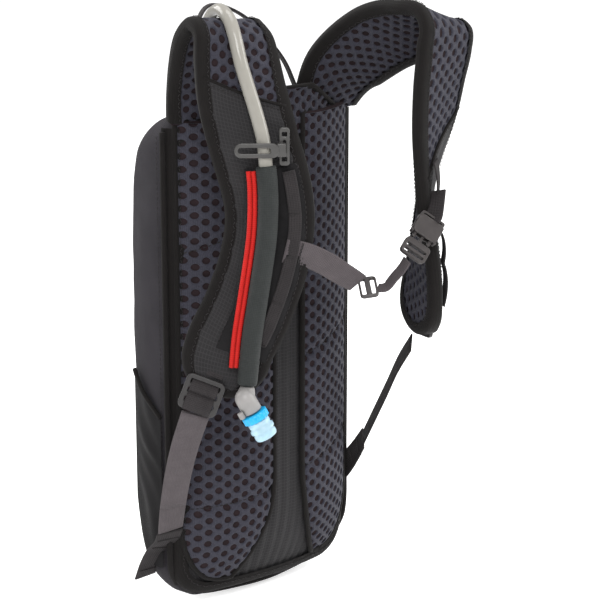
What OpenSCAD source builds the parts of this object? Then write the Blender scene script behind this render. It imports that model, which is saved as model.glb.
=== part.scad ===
// Hydration pack: a slim backpack with a reservoir, two padded shoulder straps, a sternum strap
// and a drinking hose that lies on the wearer's right strap.
// The origin is where the haul loop hangs, on the pack's middle plane. +Z is up, the wearer's
// back rests on the -Y side, and +X is the wearer's left.

/* [Pack body] */
// Half of the width of the back panel
panel_half_w = 84; // [76:1:92]
// How far the middle of the back panel stands out towards the wearer
panel_bulge = 34; // [24:1:40]
// How far the front of the bag lies behind the panel's edges, at the middle
bag_depth = 58; // [50:1:70]
// How deep the side gusset is
gusset_d = 38; // [30:1:44]
// Distance from the hanging point down to the top of the bag
bag_top = 59; // [56:1:64]
// Distance from the hanging point down to the bottom of the bag
bag_bottom = 425; // [415:1:440]
// Thickness of the bag's fabric
fabric_t = 1.2; // [0.8:0.1:1.6]

/* [Back pads] */
// Width of the air channel between the two pads
channel_w = 27; // [20:1:34]
// Thickness of a pad at its middle
pad_t = 8; // [6:0.5:10]

/* [Shoulder straps] */
// Width of a shoulder strap, with its binding
strap_w = 64; // [58:1:68]
// Thickness of the strap's padding
strap_t = 7; // [6:0.5:8]
// How far the binding tape stands out around the strap's padding
binding_t = 0.8; // [0.6:0.1:1.2]

/* [Webbing] */
// Width of the adjuster and sternum webbing
web_w = 20; // [18:1:20]
// Width of the daisy chain webbing on each strap
daisy_w = 9; // [8:1:10]
// Thickness of a webbing
web_t = 1.6; // [1.2:0.1:1.8]

/* [Drinking hose] */
// Outer diameter of the drinking hose
hose_d = 9.5; // [9:0.5:10]
// Outer diameter of the hose sleeve
sleeve_d = 14; // [13:0.5:15]

/* [Hidden] */
$fn = 40;
gap = 0.4;
panel_r = (panel_half_w * panel_half_w + panel_bulge * panel_bulge) / (2 * panel_bulge);
front_rise = bag_depth - gusset_d;
front_r = (panel_half_w * panel_half_w + front_rise * front_rise) / (2 * front_rise);
pad_outer = panel_half_w - 5;
seat = fabric_t + gap;

// Each row of a strap is a point on its middle line and the direction of its outer edge.
strap_right = [
    [[-54, -14, -62], [-0.83, 0.28, -0.48]],
    [[-56, -20, -38], [-0.85, 0.42, -0.30]],
    [[-60, -28, -16], [-0.90, 0.35, -0.20]],
    [[-64, -38, 2], [-0.97, 0.20, -0.05]],
    [[-66, -50, 9], [-0.99, 0.05, 0.10]],
    [[-67, -61, 2], [-0.98, 0.10, 0.12]],
    [[-68, -66, -14], [-0.96, 0.25, 0.10]],
    [[-68, -72, -38], [-0.89, 0.44, 0.06]],
    [[-63, -77, -67], [-0.82, 0.58, 0.00]],
    [[-55, -81, -100], [-0.74, 0.67, 0.03]],
    [[-53, -82, -126], [-0.72, 0.69, 0.10]],
    [[-59, -81, -156], [-0.70, 0.69, 0.18]],
    [[-71, -78, -186], [-0.75, 0.65, 0.10]],
    [[-83, -73, -212], [-0.79, 0.61, 0.00]],
    [[-88, -68, -244], [-0.77, 0.63, -0.10]]
];
strap_left = [
    [[54, -14, -62], [0.83, 0.28, -0.48]],
    [[58, -32, -34], [0.70, 0.10, -0.70]],
    [[64, -62, -11], [0.64, 0.06, -0.76]],
    [[70, -92, 1], [0.72, 0.10, -0.65]],
    [[74, -109, 8], [0.90, 0.15, -0.35]],
    [[76, -118, 1], [0.95, 0.20, -0.22]],
    [[76, -118, -14], [0.95, 0.22, -0.18]],
    [[75, -115, -36], [0.95, 0.28, -0.12]],
    [[76, -110, -64], [0.92, 0.38, -0.08]],
    [[78, -102, -100], [0.80, 0.60, 0.00]],
    [[80, -96, -132], [0.66, 0.75, 0.00]],
    [[81, -96, -156], [0.52, 0.85, 0.00]],
    [[82, -94, -186], [0.38, 0.92, 0.00]],
    [[84, -87, -224], [0.26, 0.97, 0.00]]
];

// The hose: inside the bag, over the right shoulder, and down the right strap.
inner_hose_route = [
    [-22, 2.6, -362], [-36, 7, -361], [-46, 14, -350], [-50, 18, -325], [-51, 18, -290],
    [-51, 16, -240], [-51, 14, -180], [-51, 12, -120], [-50, 9, -84], [-50, 8, -68]
];
upper_hose_route = [
    [-50, 8, -68], [-51, 6, -56], [-53, -2, -40], [-57, -13, -20], [-61, -22, -2],
    [-65, -34, 13], [-68, -48, 19], [-71, -62, 14], [-73, -71, 2], [-73, -77, -14],
    [-70, -82, -32], [-67, -86, -48], [-65, -90, -64], [-65, -92, -74]
];
lower_hose_route = [
    [-65, -92, -78], [-65, -95, -98], [-66, -96, -118], [-68, -96, -137], [-74, -95, -172],
    [-78, -93, -200], [-81, -91, -233]
];

hose_port_at = [-50.6, 7, -62];
hose_port_dir = [-0.08, -0.2, 1];

haul_loop_route = [
    [-30, -6, -54], [-43, -3, -40], [-50, 0, -20], [-50, 2, 0], [-44, 3, 12], [-34, 3, 16],
    [-20, 2, 12], [-5, 0, 3], [9, -5, -12], [19, -11, -28], [25, -16, -46]
];
sternum_right_route = [
    [-47, -101, -143], [-38, -105, -146], [-25, -109, -153], [-12, -112, -162], [0, -114, -170]
];
sternum_left_route = [
    [16, -117, -176], [20, -122, -174], [24, -125, -168], [28, -129, -161], [31, -131, -155]
];
lower_web_right_route = [
    [-104, -62, -257], [-104, -50, -282], [-102, -38, -308], [-97, -24, -338], [-91, -12, -362]
];
lower_web_left_route = [
    [88, -76, -238], [88, -62, -258], [88, -50, -280], [88, -37, -303], [88, -24, -326]
];

// Frames that small hardware is built in: a place, the direction across, and the outward face.
across_right = [0.72, -0.58, -0.36];
face_right = [-0.64, -0.77, 0.07];
lock_right_at = [-102, -67, -242];
across_left = [0.24, 0.97, -0.06];
face_left = [0.97, -0.24, 0.00];
lock_left_at = [94.5, -80.5, -219];
clip_at = [-64, -91, -69];
clip_across = [-0.77, 0.64, 0];
clip_face = [-0.64, -0.77, 0];
hose_pivot = [-65, -92, -77];
valve_at = [-81, -91, -239];
valve_body_at = [-86, -95, -241.5];
valve_dir = [0.36, -0.32, -0.876];
slider_at = [8, -116, -174];
buckle_at = [46, -129, -143];
buckle_axis = [0.72, 0.12, 0.68];
buckle_face = [-0.30, -0.84, 0.46];

// ---- small vector and curve functions ----
function unit(v) = v / norm(v);
function side_of(w, t) = unit(w - t * (w * t));
function mix(a, b, f) = a * (1 - f) + b * f;
function hermite(a, b, c, d, f) =
    0.5 * ((2 * b) + (c - a) * f + (2 * a - 5 * b + 4 * c - d) * f * f
        + (3 * b - a - 3 * c + d) * f * f * f);
function at_index(p, u) =
    let (n = len(p) - 1, i = max(0, min(floor(u), n - 1)), f = u - i)
    hermite(i > 0 ? p[i - 1] : 2 * p[0] - p[1], p[i], p[i + 1],
        i < n - 1 ? p[i + 2] : 2 * p[n] - p[n - 1], f);
function curve(p, per) = [for (k = [0 : (len(p) - 1) * per]) at_index(p, k / per)];
function tangents(p) =
    let (n = len(p) - 1) [for (k = [0 : n]) unit(p[min(k + 1, n)] - p[max(k - 1, 0)])];

// ---- lofts: closed solids through rings of points ----
function ring_turn(ring, t) =
    let (n = len(ring), c = ring[0])
    [for (k = [1 : n - 2]) cross(ring[k] - c, ring[k + 1] - c) * t];
function total(v, k = 0) = k >= len(v) ? 0 : v[k] + total(v, k + 1);
function flipped(ring) = [for (k = [len(ring) - 1 : -1 : 0]) ring[k]];

// A ring whose first half faces its second is closed by four-sided cells between the two halves,
// so that a thin, curved end stays flat and true.
module loft(rings, facing = false) {
    travel = unit(rings[1][0] - rings[0][0] + rings[1][1] - rings[0][1]);
    good = total(ring_turn(rings[0], travel)) > 0;
    all = good ? rings : [for (r = rings) flipped(r)];
    m = len(all[0]);
    n = len(all);
    sides = [for (j = [0 : n - 2], i = [0 : m - 1]) each [
        [j * m + i, (j + 1) * m + i, (j + 1) * m + (i + 1) % m],
        [j * m + i, (j + 1) * m + (i + 1) % m, j * m + (i + 1) % m]
    ]];
    cells = [for (i = [0 : m / 2 - 2]) [i, i + 1, m - 2 - i, m - 1 - i]];
    start = facing ? cells : [[for (i = [0 : m - 1]) i]];
    end = [for (face = start) [for (k = [len(face) - 1 : -1 : 0]) face[k] + (n - 1) * m]];
    polyhedron([for (r = all) each r], concat(start, sides, end), convexity = 6);
}

// A flat strip along a route. The width vectors say which way the strip is wide.
module strip(route, widths, width, thick, per = 3, lift = 0) {
    p = curve(route, per);
    w = curve(widths, per);
    t = tangents(p);
    loft([for (k = [0 : len(p) - 1])
        let (s = side_of(w[k], t[k]), f = cross(s, t[k]), c = p[k] + f * lift)
        [c + s * width / 2 + f * thick / 2, c - s * width / 2 + f * thick / 2,
         c - s * width / 2 - f * thick / 2, c + s * width / 2 - f * thick / 2]]);
}

// A round tube along a route.
module tube(route, diameter, per = 2, sides = 10) {
    p = curve(route, per);
    t = tangents(p);
    loft([for (k = [0 : len(p) - 1])
        let (s = side_of([1, 0.3, 0.1], t[k]), f = cross(s, t[k]))
        [for (i = [0 : sides - 1])
            p[k] + (s * cos(360 * i / sides) + f * sin(360 * i / sides)) * diameter / 2]]);
}

// ---- the straps' own coordinates ----
// u runs from the root to the end in rows, a across towards the outer edge, h out of the face.
function strap_place(rows, k, u, a, h) =
    let (p = [for (r = rows) r[0]], w = [for (r = rows) r[1]],
        c = at_index(p, u), t = unit(at_index(p, u + 0.05) - at_index(p, u - 0.05)),
        s = side_of(at_index(w, u), t), f = k * cross(s, t))
    c + s * a + f * h;
function strap_last(rows) = len(rows) - 1;
// Half width of the padding at u: full along the strap, rounded at the end.
function strap_half(rows, u, full) =
    let (left = (strap_last(rows) - u) / 0.8)
    left >= 1 ? full : full * sqrt(max(1 - (1 - left) * (1 - left), 0.02));

module strap_slab(rows, k, u0, u1, half, low, high, per = 3, bevel = 1.5) {
    n = round((u1 - u0) * per);
    loft([for (j = [0 : n])
        let (u = u0 + (u1 - u0) * j / n, a = strap_half(rows, u, half),
            e = min(bevel, (high - low) / 3))
        [strap_place(rows, k, u, a, low + e), strap_place(rows, k, u, a, high - e),
         strap_place(rows, k, u, a - 2 * e, high), strap_place(rows, k, u, -a + 2 * e, high),
         strap_place(rows, k, u, -a, high - e), strap_place(rows, k, u, -a, low + e),
         strap_place(rows, k, u, -a + 2 * e, low), strap_place(rows, k, u, a - 2 * e, low)]]);
}

// A ribbon that lies on the strap at offset a from its middle line.
module strap_ribbon(rows, k, u0, u1, a0, a1, width, low, high, per = 3) {
    n = max(round((u1 - u0) * per), 2);
    loft([for (j = [0 : n])
        let (f = j / n, u = mix(u0, u1, f), a = mix(a0, a1, f))
        [strap_place(rows, k, u, a + width / 2, low), strap_place(rows, k, u, a + width / 2, high),
         strap_place(rows, k, u, a - width / 2, high), strap_place(rows, k, u, a - width / 2, low)]]);
}

// ---- the bag's surfaces ----
function bag_fade(z, reach_top, reach_bottom) =
    let (top = (-bag_top - z) / reach_top, low = (z + bag_bottom) / reach_bottom,
        f = min(top, low, 1))
    sqrt(max(1 - (1 - f) * (1 - f), 0.0001));
// The panel runs upright and bulges towards the wearer; the bulge dies away at the bottom.
function panel_curl(z) = let (low = max(0, 1 - (z + bag_bottom) / 80)) low * low;
function panel_y(x, z) =
    let (bulge = panel_r - panel_bulge - sqrt(panel_r * panel_r - x * x))
    bulge * (1 - 0.65 * panel_curl(z)) + 4 * panel_curl(z);
function front_y(x, z, inset) =
    let (full = bag_depth - front_r + sqrt(front_r * front_r - x * x), back = 4 * panel_curl(z) + 3)
    back + (full - back) * bag_fade(z, 80, 110) - inset;
function bag_half(z, inset) = (panel_half_w - inset) - 26 * (1 - bag_fade(z, 30, 34));

// A curved slab that follows the panel: x runs between two limits at each height.
module panel_slab(z0, z1, left, right, out_edge, out_mid, back, rows = 14, cols = 10) {
    loft([for (j = [0 : rows])
        let (z = mix(z0, z1, j / rows), xa = left(z), xb = right(z))
        concat(
            [for (i = [0 : cols]) let (f = i / cols, x = mix(xa, xb, f),
                crown = 1 - pow(2 * f - 1, 4))
                [x, panel_y(x, z) - mix(out_edge, out_mid, crown), z]],
            [for (i = [cols : -1 : 0]) let (x = mix(xa, xb, i / cols))
                [x, panel_y(x, z) - back, z]])], facing = true);
}

// The bag's volume, drawn in by `inset`; the ends are trimmed by as much.
module bag_solid(inset, back, rows = 18, cols = 12) {
    z0 = -bag_bottom;
    z1 = -bag_top;
    loft([for (j = [0 : rows])
        let (z = mix(z0, z1, (1 - cos(180 * j / rows)) / 2), h = bag_half(z, inset),
            zt = max(z0 + inset, min(z1 - inset, z)))
        concat(
            [for (i = [0 : cols]) let (x = mix(-h, h, i / cols)) [x, panel_y(x, z) + back, zt]],
            [for (i = [cols : -1 : 0]) let (x = mix(-h, h, i / cols))
                [x, front_y(x, z, inset), zt]])], facing = true);
}

// ---- exact flat shapes for hardware ----
module round_rect(w, h, r) {
    square([w, h - 2 * r], center = true);
    square([w - 2 * r, h], center = true);
    for (x = [-1, 1], y = [-1, 1])
        translate([x * (w / 2 - r), y * (h / 2 - r)]) circle(r);
}
module plate(w, h, r, t) {
    translate([0, 0, -t / 2]) linear_extrude(t) round_rect(w, h, r);
}
// Puts children at p with their X along `across` and their Z along `face`.
module placed(p, across, face) {
    x = side_of(across, unit(face));
    z = unit(face);
    y = cross(z, x);
    multmatrix([[x[0], y[0], z[0], p[0]], [x[1], y[1], z[1], p[1]], [x[2], y[2], z[2], p[2]],
        [0, 0, 0, 1]]) children();
}
function any_side(d) = abs(d[2]) < 0.9 ? [0, 0, 1] : [1, 0, 0];
module pointed(p, direction) {
    placed(p, any_side(unit(direction)), direction) children();
}

// ---- pack body ----
module back_panel() {
    color("dimgray")
    panel_slab(-bag_bottom, -bag_top, function (z) -bag_half(z, 0), function (z) bag_half(z, 0),
        fabric_t, fabric_t, 0, rows = 16, cols = 12);
}
module frame_sheet() {
    color("gainsboro")
    panel_slab(-bag_bottom + 34, -bag_top - 22, function (z) -bag_half(z, 12),
        function (z) bag_half(z, 12), -1, -1, -3.3, rows = 10, cols = 12);
}
function channel_half(z) =
    let (low = max(0, 1 - (z + bag_bottom - 8) / 90)) channel_w / 2 + 22 * low * low;
module back_pad(k) {
    color("slategray")
    panel_slab(-bag_bottom + 14, -bag_top - 17,
        function (z) k * (channel_half(z)), function (z) k * (pad_outer - 24 * (1 - bag_fade(z + 2, 36, 46))),
        seat + 3, seat + pad_t, seat, rows = 16, cols = 8);
}
module back_pad_right() { back_pad(-1); }
module back_pad_left() { back_pad(1); }
module yoke_pad() {
    color("slategray")
    panel_slab(-bag_top - 16.5, -bag_top + 16,
        function (z) -mix(pad_outer - 3, 26, max(0, (z + bag_top + 16.5) / 32.5)),
        function (z) mix(pad_outer - 3, 26, max(0, (z + bag_top + 16.5) / 32.5)),
        seat + 2.4, seat + 3.4, seat, rows = 8, cols = 16);
}
module main_shell() {
    color("#302d32")
    difference() {
        bag_solid(0, gap / 2);
        bag_solid(fabric_t, -3);
        pointed(hose_port_at, hose_port_dir) cylinder(d = hose_d + 5.8, h = 20, center = true);
    }
}
module reservoir_divider() {
    color("darkgray")
    panel_slab(-bag_bottom + 30, -bag_top - 24, function (z) -bag_half(z, 9),
        function (z) bag_half(z, 9), -4.4, -4.4, -5.2, rows = 10, cols = 12);
}
module edge_piping() {
    half = panel_half_w + 1.5;
    top = -bag_top - 10;
    low = -bag_bottom - 1;
    right = [for (z = [top, -150, -250, -340, -385]) [half, 1.2, z]];
    corner = [[half - 4, 4, low + 22], [half - 16, 8, low + 7]];
    floor_ = [[50, 7, low], [20, 0, low], [0, -2, low], [-20, 0, low], [-50, 7, low]];
    route = concat(right, corner, floor_, [for (p = flipped(corner)) [-p[0], p[1], p[2]]],
        [for (p = flipped(right)) [-p[0], p[1], p[2]]]);
    color("black") tube([for (p = route) p + [0, -4.4, 0]], 4, 2, 8);
}
module side_pocket(k) {
    inner = panel_half_w + 0.3;
    color("#26242a")
    loft([for (j = [0 : 12])
        let (y = mix(5, gusset_d - 3, j / 12), depth = (y - 3) / (gusset_d - 3),
            low = -bag_bottom + 116 - 110 * sqrt(1 - depth * depth) + 22 * (1 - depth),
            high = mix(-302, -250, j / 12), bow = 2.6 * sin(180 * j / 12))
        [[k * inner, y, low], [k * (inner + 0.8 + bow / 3), y, low],
         [k * (inner + 1 + bow), y, mix(low, high, 0.4)],
         [k * (inner + 1 + bow / 2), y, high], [k * inner, y, high]]]);
}
module side_pocket_right() { side_pocket(-1); }
module side_pocket_left() { side_pocket(1); }

// The main zip runs up one side of the front, over the top and down the other side.
zip_x = 62;
zip_low = -300;
zip_bend = -150;
zip_top = -92;
module main_zip_chain() {
    arch = [for (a = [0 : 15 : 180]) [zip_x * cos(a), zip_bend + (zip_top - zip_bend) * sin(a)]];
    flat = concat([[zip_x, zip_low], [zip_x, -250], [zip_x, -200]], arch,
        [[-zip_x, -200], [-zip_x, -250], [-zip_x, zip_low]]);
    color("black")
    strip([for (q = flat) [q[0], front_y(q[0], q[1], 0) + 1.3, q[1]]],
        [for (i = [0 : len(flat) - 1])
            let (d = unit(flat[min(i + 1, len(flat) - 1)] - flat[max(i - 1, 0)])) [d[1], 0, -d[0]]],
        6, 1.2, 2);
}
slider_y = front_y(zip_x, -200, 0) + 4.4;
slider_tilt = -atan(zip_x / sqrt(front_r * front_r - zip_x * zip_x));
module zip_slider() {
    color("dimgray")
    translate([-zip_x, slider_y, -180]) rotate([0, 0, -slider_tilt]) {
        rotate([90, 0, 0]) plate(8, 11, 2.5, 2.2);
        translate([0, 2.4, 0]) difference() {
            cube([3, 4.2, 7], center = true);
            translate([0, 0.4, 0]) rotate([0, 90, 0]) cylinder(d = 2.2, h = 8, center = true);
        }
    }
}
module zip_puller() {
    color("dimgray")
    translate([-zip_x, slider_y, -180]) rotate([0, 0, -slider_tilt]) translate([0, 2.8, 0]) {
        rotate([0, 90, 0]) cylinder(d = 1.6, h = 5.4, center = true);
        for (x = [-1, 1]) translate([x * 3.2, 1.1, -4]) cube([1.4, 1.8, 10.4], center = true);
        translate([0, 1.1, -19]) rotate([90, 0, 0]) plate(8, 22, 2, 1.8);
    }
}
module haul_loop() {
    color("#3a3737")
    strip(haul_loop_route, [for (p = haul_loop_route) [0.15, 1, 0.1]], 12, web_t, 3);
}
module hose_port() {
    color("black")
    pointed(hose_port_at, hose_port_dir) difference() {
        cylinder(d = hose_d + 5, h = 9, center = true);
        cylinder(d = hose_d + 1.4, h = 20, center = true);
    }
}

// ---- reservoir ----
module reservoir() {
    color("lightcyan")
    loft([for (j = [0 : 12])
        let (z = mix(-385, -116, j / 12), f = sqrt(1 - pow(2 * j / 12 - 1, 4) * 0.93),
            h = 62 * (0.8 + 0.2 * f))
        concat(
            [for (i = [0 : 8]) let (x = mix(-h, h, i / 8), crown = 1 - pow(x / h, 4))
                [x, panel_y(x, -200) + 20 - 12 * f * crown, z]],
            [for (i = [8 : -1 : 0]) let (x = mix(-h, h, i / 8), crown = 1 - pow(x / h, 4))
                [x, panel_y(x, -200) + 20.5 + 9 * f * crown, z]])], facing = true);
}
module reservoir_slide_closure() {
    color("white")
    translate([0, -2, -108]) difference() {
        cube([126, 9, 11], center = true);
        translate([0, 0, -2]) cube([110, 4, 8], center = true);
    }
}
module reservoir_hanger() {
    color("gray")
    translate([0, -2, -94]) rotate([90, 0, 0]) difference() {
        plate(26, 15, 4, 2);
        translate([0, 1, 0]) plate(16, 6, 2, 6);
    }
}
module reservoir_outlet() {
    color("deepskyblue")
    translate([0, -6.4, -362]) {
        rotate([-90, 0, 0]) cylinder(d = 22, h = 4);
        rotate([-90, 0, 0]) cylinder(d = 13, h = 14);
        translate([0, 9, 0]) rotate([0, -90, 0]) cylinder(d = 8, h = 21.6);
    }
}
module inner_hose() { color("silver") tube(inner_hose_route, hose_d, 2); }

// ---- drinking hose ----
module upper_hose() { color("silver") tube(upper_hose_route, hose_d, 2); }
module lower_hose() { color("silver") tube(lower_hose_route, hose_d, 2); }
module hose_sleeve() {
    last = len(lower_hose_route) - 1;
    inner_points = [for (i = [1 : last - 1]) lower_hose_route[i]];
    top = lower_hose_route[0];
    foot = lower_hose_route[last];
    color("#343635")
    difference() {
        tube(concat([top + [0, -0.3, -2]], inner_points, [foot]), sleeve_d, 2, 12);
        tube(concat([top + [0, 0.5, 6]], inner_points, [foot + [-0.5, 0.3, -6]]),
            hose_d + 0.8, 2, 12);
    }
}
module hose_clip_plate() {
    color("#8d8c8b")
    placed(clip_at, clip_across, clip_face) translate([-13, 0, -1]) difference() {
        plate(7, 26, 2, 3);
        for (y = [-8.5, 8.5]) translate([0, y, 0]) cube([3.4, 3, 8], center = true);
        cube([2, 9, 8], center = true);
    }
}
module hose_clip_arm() {
    color("#a09f9e")
    placed(clip_at, clip_across, clip_face) {
        translate([5.6, 1.5, 6.9]) difference() {
            plate(30, 10, 4.5, 2);
            translate([1.5, 0, 0]) plate(22, 4, 1.9, 6);
        }
        translate([-11, 1.5, 3.7]) cube([6, 9, 6.2], center = true);
    }
}
module hose_dock_piping() {
    out = [-0.755, 0.655, 0];
    face = [-0.655, -0.755, 0];
    route = concat([for (i = [0 : 4]) lower_hose_route[i]], [[-80, -92, -222]]);
    color("red")
    for (a = [9.2, 12.8])
        tube([for (p = route) p + out * a - face * 3], 3.2, 2, 8);
}

// ---- shoulder straps ----
strap_face = strap_t / 2 + gap;
module shoulder_strap(rows, k) {
    color("#3c3f4a")
    strap_slab(rows, k, 0, strap_last(rows) - 0.05, strap_w / 2 - 3, -strap_t / 2, strap_t / 2, 4);
}
module shoulder_strap_right() { shoulder_strap(strap_right, 1); }
module shoulder_strap_left() { shoulder_strap(strap_left, -1); }
module strap_binding(rows, k) {
    half = strap_w / 2 - 1.2;
    end = strap_last(rows);
    stations = concat([for (u = [0.1 : 0.4 : end - 0.7]) [u, 1]],
        [for (a = [75 : -25 : -75]) [a, 0]], [for (u = [end - 0.9 : -0.4 : 0.1]) [u, -1]]);
    tip = end - 0.8;
    function outline(s) = s[1] == 0
        ? [tip + 0.84 * cos(s[0]), half * sin(s[0])]
        : [s[0], s[1] * half];
    color("#1c1918")
    loft([for (s = stations)
        let (q = outline(s), in_ = s[1] == 0 ? 1 - 2.4 / half : 1,
            qi = s[1] == 0
                ? [tip + 0.84 * cos(s[0]) * in_, half * sin(s[0]) * in_]
                : [q[0], q[1] - s[1] * 1.5])
        [strap_place(rows, k, q[0], q[1], -strap_t / 2 - binding_t),
         strap_place(rows, k, q[0], q[1], strap_t / 2 + binding_t),
         strap_place(rows, k, qi[0], qi[1], strap_t / 2 + binding_t),
         strap_place(rows, k, qi[0], qi[1], -strap_t / 2 - binding_t)]]);
}
module strap_binding_right() { strap_binding(strap_right, 1); }
module strap_binding_left() { strap_binding(strap_left, -1); }
module strap_cover(rows, k, u0) {
    color("#3a3839")
    strap_ribbon(rows, k, u0, strap_last(rows) - 0.9, 0, 0, strap_w - 10, strap_face, strap_face + 0.8, 3);
}
module strap_cover_right() { strap_cover(strap_right, 1, 7.4); }
module strap_cover_left() { strap_cover(strap_left, -1, 9.3); }
module daisy_chain(rows, k, u0, u1, a) {
    color("#6a6462")
    strap_ribbon(rows, k, u0, u1, a, a, daisy_w, strap_face + 1.2, strap_face + 1.2 + web_t, 3);
}
module daisy_chain_right() { daisy_chain(strap_right, 1, 8.8, 12.4, -18); }
module daisy_chain_left() { daisy_chain(strap_left, -1, 8.6, 12.2, -18); }

// ---- strap adjusters ----
module adjuster_stub(at, across, face) {
    color("#5c5656")
    placed(at, across, face) translate([0, 20.4, -1.4]) plate(web_w, 13, 0.6, web_t);
}
module adjuster_stub_right() { adjuster_stub(lock_right_at, across_right, face_right); }
module adjuster_stub_left() { adjuster_stub(lock_left_at, across_left, face_left); }
lock_w = 28;
lock_h = 27;
module ladder_lock(at, across, face) {
    color("#4a4747")
    placed(at, across, face) difference() {
        plate(lock_w, lock_h, 4, 3);
        for (y = [7.6, 1.2, -5.8]) translate([0, y, 0]) plate(web_w + 1.2, 3.6, 1, 8);
        translate([0, -12.6, 1.6]) rotate([0, 90, 0]) cylinder(d = 2, h = web_w, center = true);
    }
}
module ladder_lock_right() { ladder_lock(lock_right_at, across_right, face_right); }
module ladder_lock_left() { ladder_lock(lock_left_at, across_left, face_left); }
module lower_webbing_right() {
    color("#645c5e")
    strip(lower_web_right_route, [for (p = lower_web_right_route) [-0.77, 0.62, 0]],
        web_w, web_t, 3);
}
module lower_webbing_left() {
    color("#645c5e")
    strip(lower_web_left_route, [for (p = lower_web_left_route) [0.6, 0.55, 0.45]],
        web_w, web_t, 3);
}
module anchor_tab(route, widths) {
    color("#4c4748") strip(route, widths, web_w + 1, 2.4, 3);
}
module anchor_tab_right() {
    anchor_tab([[-91, -11.4, -363.6], [-89.5, -4, -374], [-90, 6, -384], [-91, 14, -396], [-92, 20, -408]],
        [for (i = [0 : 4]) [-0.6 + 0.1 * i, 0.7, 0.1 * i]]);
}
module anchor_tab_left() {
    anchor_tab([[88, -23, -327.6], [88.5, -14, -340], [89, -4, -352], [89.5, 6, -362], [90, 14, -372]],
        [for (i = [0 : 4]) [0.5 - 0.1 * i, 0.6, 0.5]]);
}

// ---- sternum strap ----
module sternum_webbing_right() {
    color("#645c5e")
    strip(sternum_right_route,
        [[0.2, -0.2, 1], [0.3, -0.2, 1], [0.45, -0.2, 1], [0.5, -0.5, 1], [0.5, -0.8, 0.8]],
        web_w - 3, web_t, 3);
}
module sternum_webbing_left() {
    color("#7c7070")
    strip(sternum_left_route, [for (p = sternum_left_route) [0, 1, 0.3]], web_w - 3, web_t, 3);
}
module sternum_slider() {
    color("#8a8180")
    placed(slider_at, [0.5, 0.75, 0.4], [-0.35, -0.25, 0.9]) difference() {
        plate(21, 13, 3, 3);
        for (y = [-3.4, 3.4]) translate([0, y, 0]) cube([17.4, 3, 10], center = true);
    }
}
module in_buckle() { placed(buckle_at, cross(buckle_axis, buckle_face), buckle_face) children(); }
module buckle_loop() {
    route = [[60.5, -127, -129], [65, -124, -121], [70.5, -119.5, -113]];
    color("#5c5656")
    strip(route, [for (p = route) [-0.3, 0.6, -0.2]], 13, 2.2, 3);
}
module buckle_housing() {
    color("#57504f")
    in_buckle() difference() {
        union() {
            translate([0, 9, 0]) plate(21, 15, 3, 7.5);
            translate([0, 16.4, 0]) plate(19, 4, 1.5, 4);
        }
        translate([0, 7.1, 0]) cube([16.4, 15.2, 4.8], center = true);
        for (x = [-1, 1]) translate([x * 9.8, 6.5, 0]) cube([3.6, 6.4, 20], center = true);
    }
}
module buckle_tongue() {
    color("#655d5c")
    in_buckle() union() {
        translate([0, -9.5, 0]) difference() {
            plate(20, 13, 2.5, 4.2);
            for (y = [-3.4, 1]) translate([0, y, 0]) cube([16, 2.2, 10], center = true);
        }
        translate([0, 4, 0]) cube([2.4, 16, 3], center = true);
    }
}
module buckle_prong(k) {
    color("#655d5c")
    in_buckle() {
        translate([k * 6.1, 3.6, 0]) cube([2, 11.2, 3.4], center = true);
        translate([k * 7, 8, 0]) cube([1.8, 2.2, 3.4], center = true);
    }
}
module buckle_prong_upper() { buckle_prong(1); }
module buckle_prong_lower() { buckle_prong(-1); }

// ---- bite valve ----
module valve_elbow() {
    color("#96948f")
    union() {
        translate(valve_at + [0, 0, 1]) cylinder(d = 7, h = 9, center = true);
        pointed(valve_body_at, valve_dir) {
            sphere(d = 14);
            cylinder(d = 14, h = 11);
        }
    }
}
module valve_shutoff() {
    color("#b0aea9")
    pointed(valve_body_at, valve_dir) translate([0, 0, 8.2]) rotate([0, 0, 140])
        translate([9.2, 0, 0]) cube([3.2, 4, 5], center = true);
}
module valve_collar() {
    color("deepskyblue")
    pointed(valve_body_at, valve_dir) translate([0, 0, 11.5]) cylinder(d = 19, h = 6);
}
module bite_cap() {
    color("#c8e6f0")
    pointed(valve_body_at, valve_dir) translate([0, 0, 17.8]) {
        cylinder(d = 16, h = 5);
        translate([0, 0, 5]) cylinder(d = 17.6, h = 2.6);
        translate([0, 0, 7.6]) cylinder(d = 16.4, h = 6);
    }
}

back_panel();
frame_sheet();
back_pad_right();
back_pad_left();
yoke_pad();
main_shell();
reservoir_divider();
edge_piping();
side_pocket_right();
side_pocket_left();
main_zip_chain();
zip_slider();
zip_puller();
haul_loop();
hose_port();
reservoir();
reservoir_slide_closure();
reservoir_outlet();
reservoir_hanger();
inner_hose();
upper_hose();
lower_hose();
hose_sleeve();
hose_clip_plate();
hose_clip_arm();
hose_dock_piping();
shoulder_strap_right();
shoulder_strap_left();
strap_binding_right();
strap_binding_left();
strap_cover_right();
strap_cover_left();
daisy_chain_right();
daisy_chain_left();
adjuster_stub_right();
adjuster_stub_left();
ladder_lock_right();
ladder_lock_left();
lower_webbing_right();
lower_webbing_left();
anchor_tab_right();
anchor_tab_left();
sternum_webbing_right();
sternum_webbing_left();
sternum_slider();
buckle_loop();
buckle_housing();
buckle_tongue();
buckle_prong_upper();
buckle_prong_lower();
valve_elbow();
valve_shutoff();
valve_collar();
bite_cap();
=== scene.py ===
"""Hydration pack: the looks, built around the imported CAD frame. Metres, in the CAD frame.

+X is the wearer's left, the wearer's back rests on the -Y side, and +Z is up.
"""
import math
import random

import bmesh
import bpy
import numpy as np
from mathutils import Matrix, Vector, noise


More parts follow.
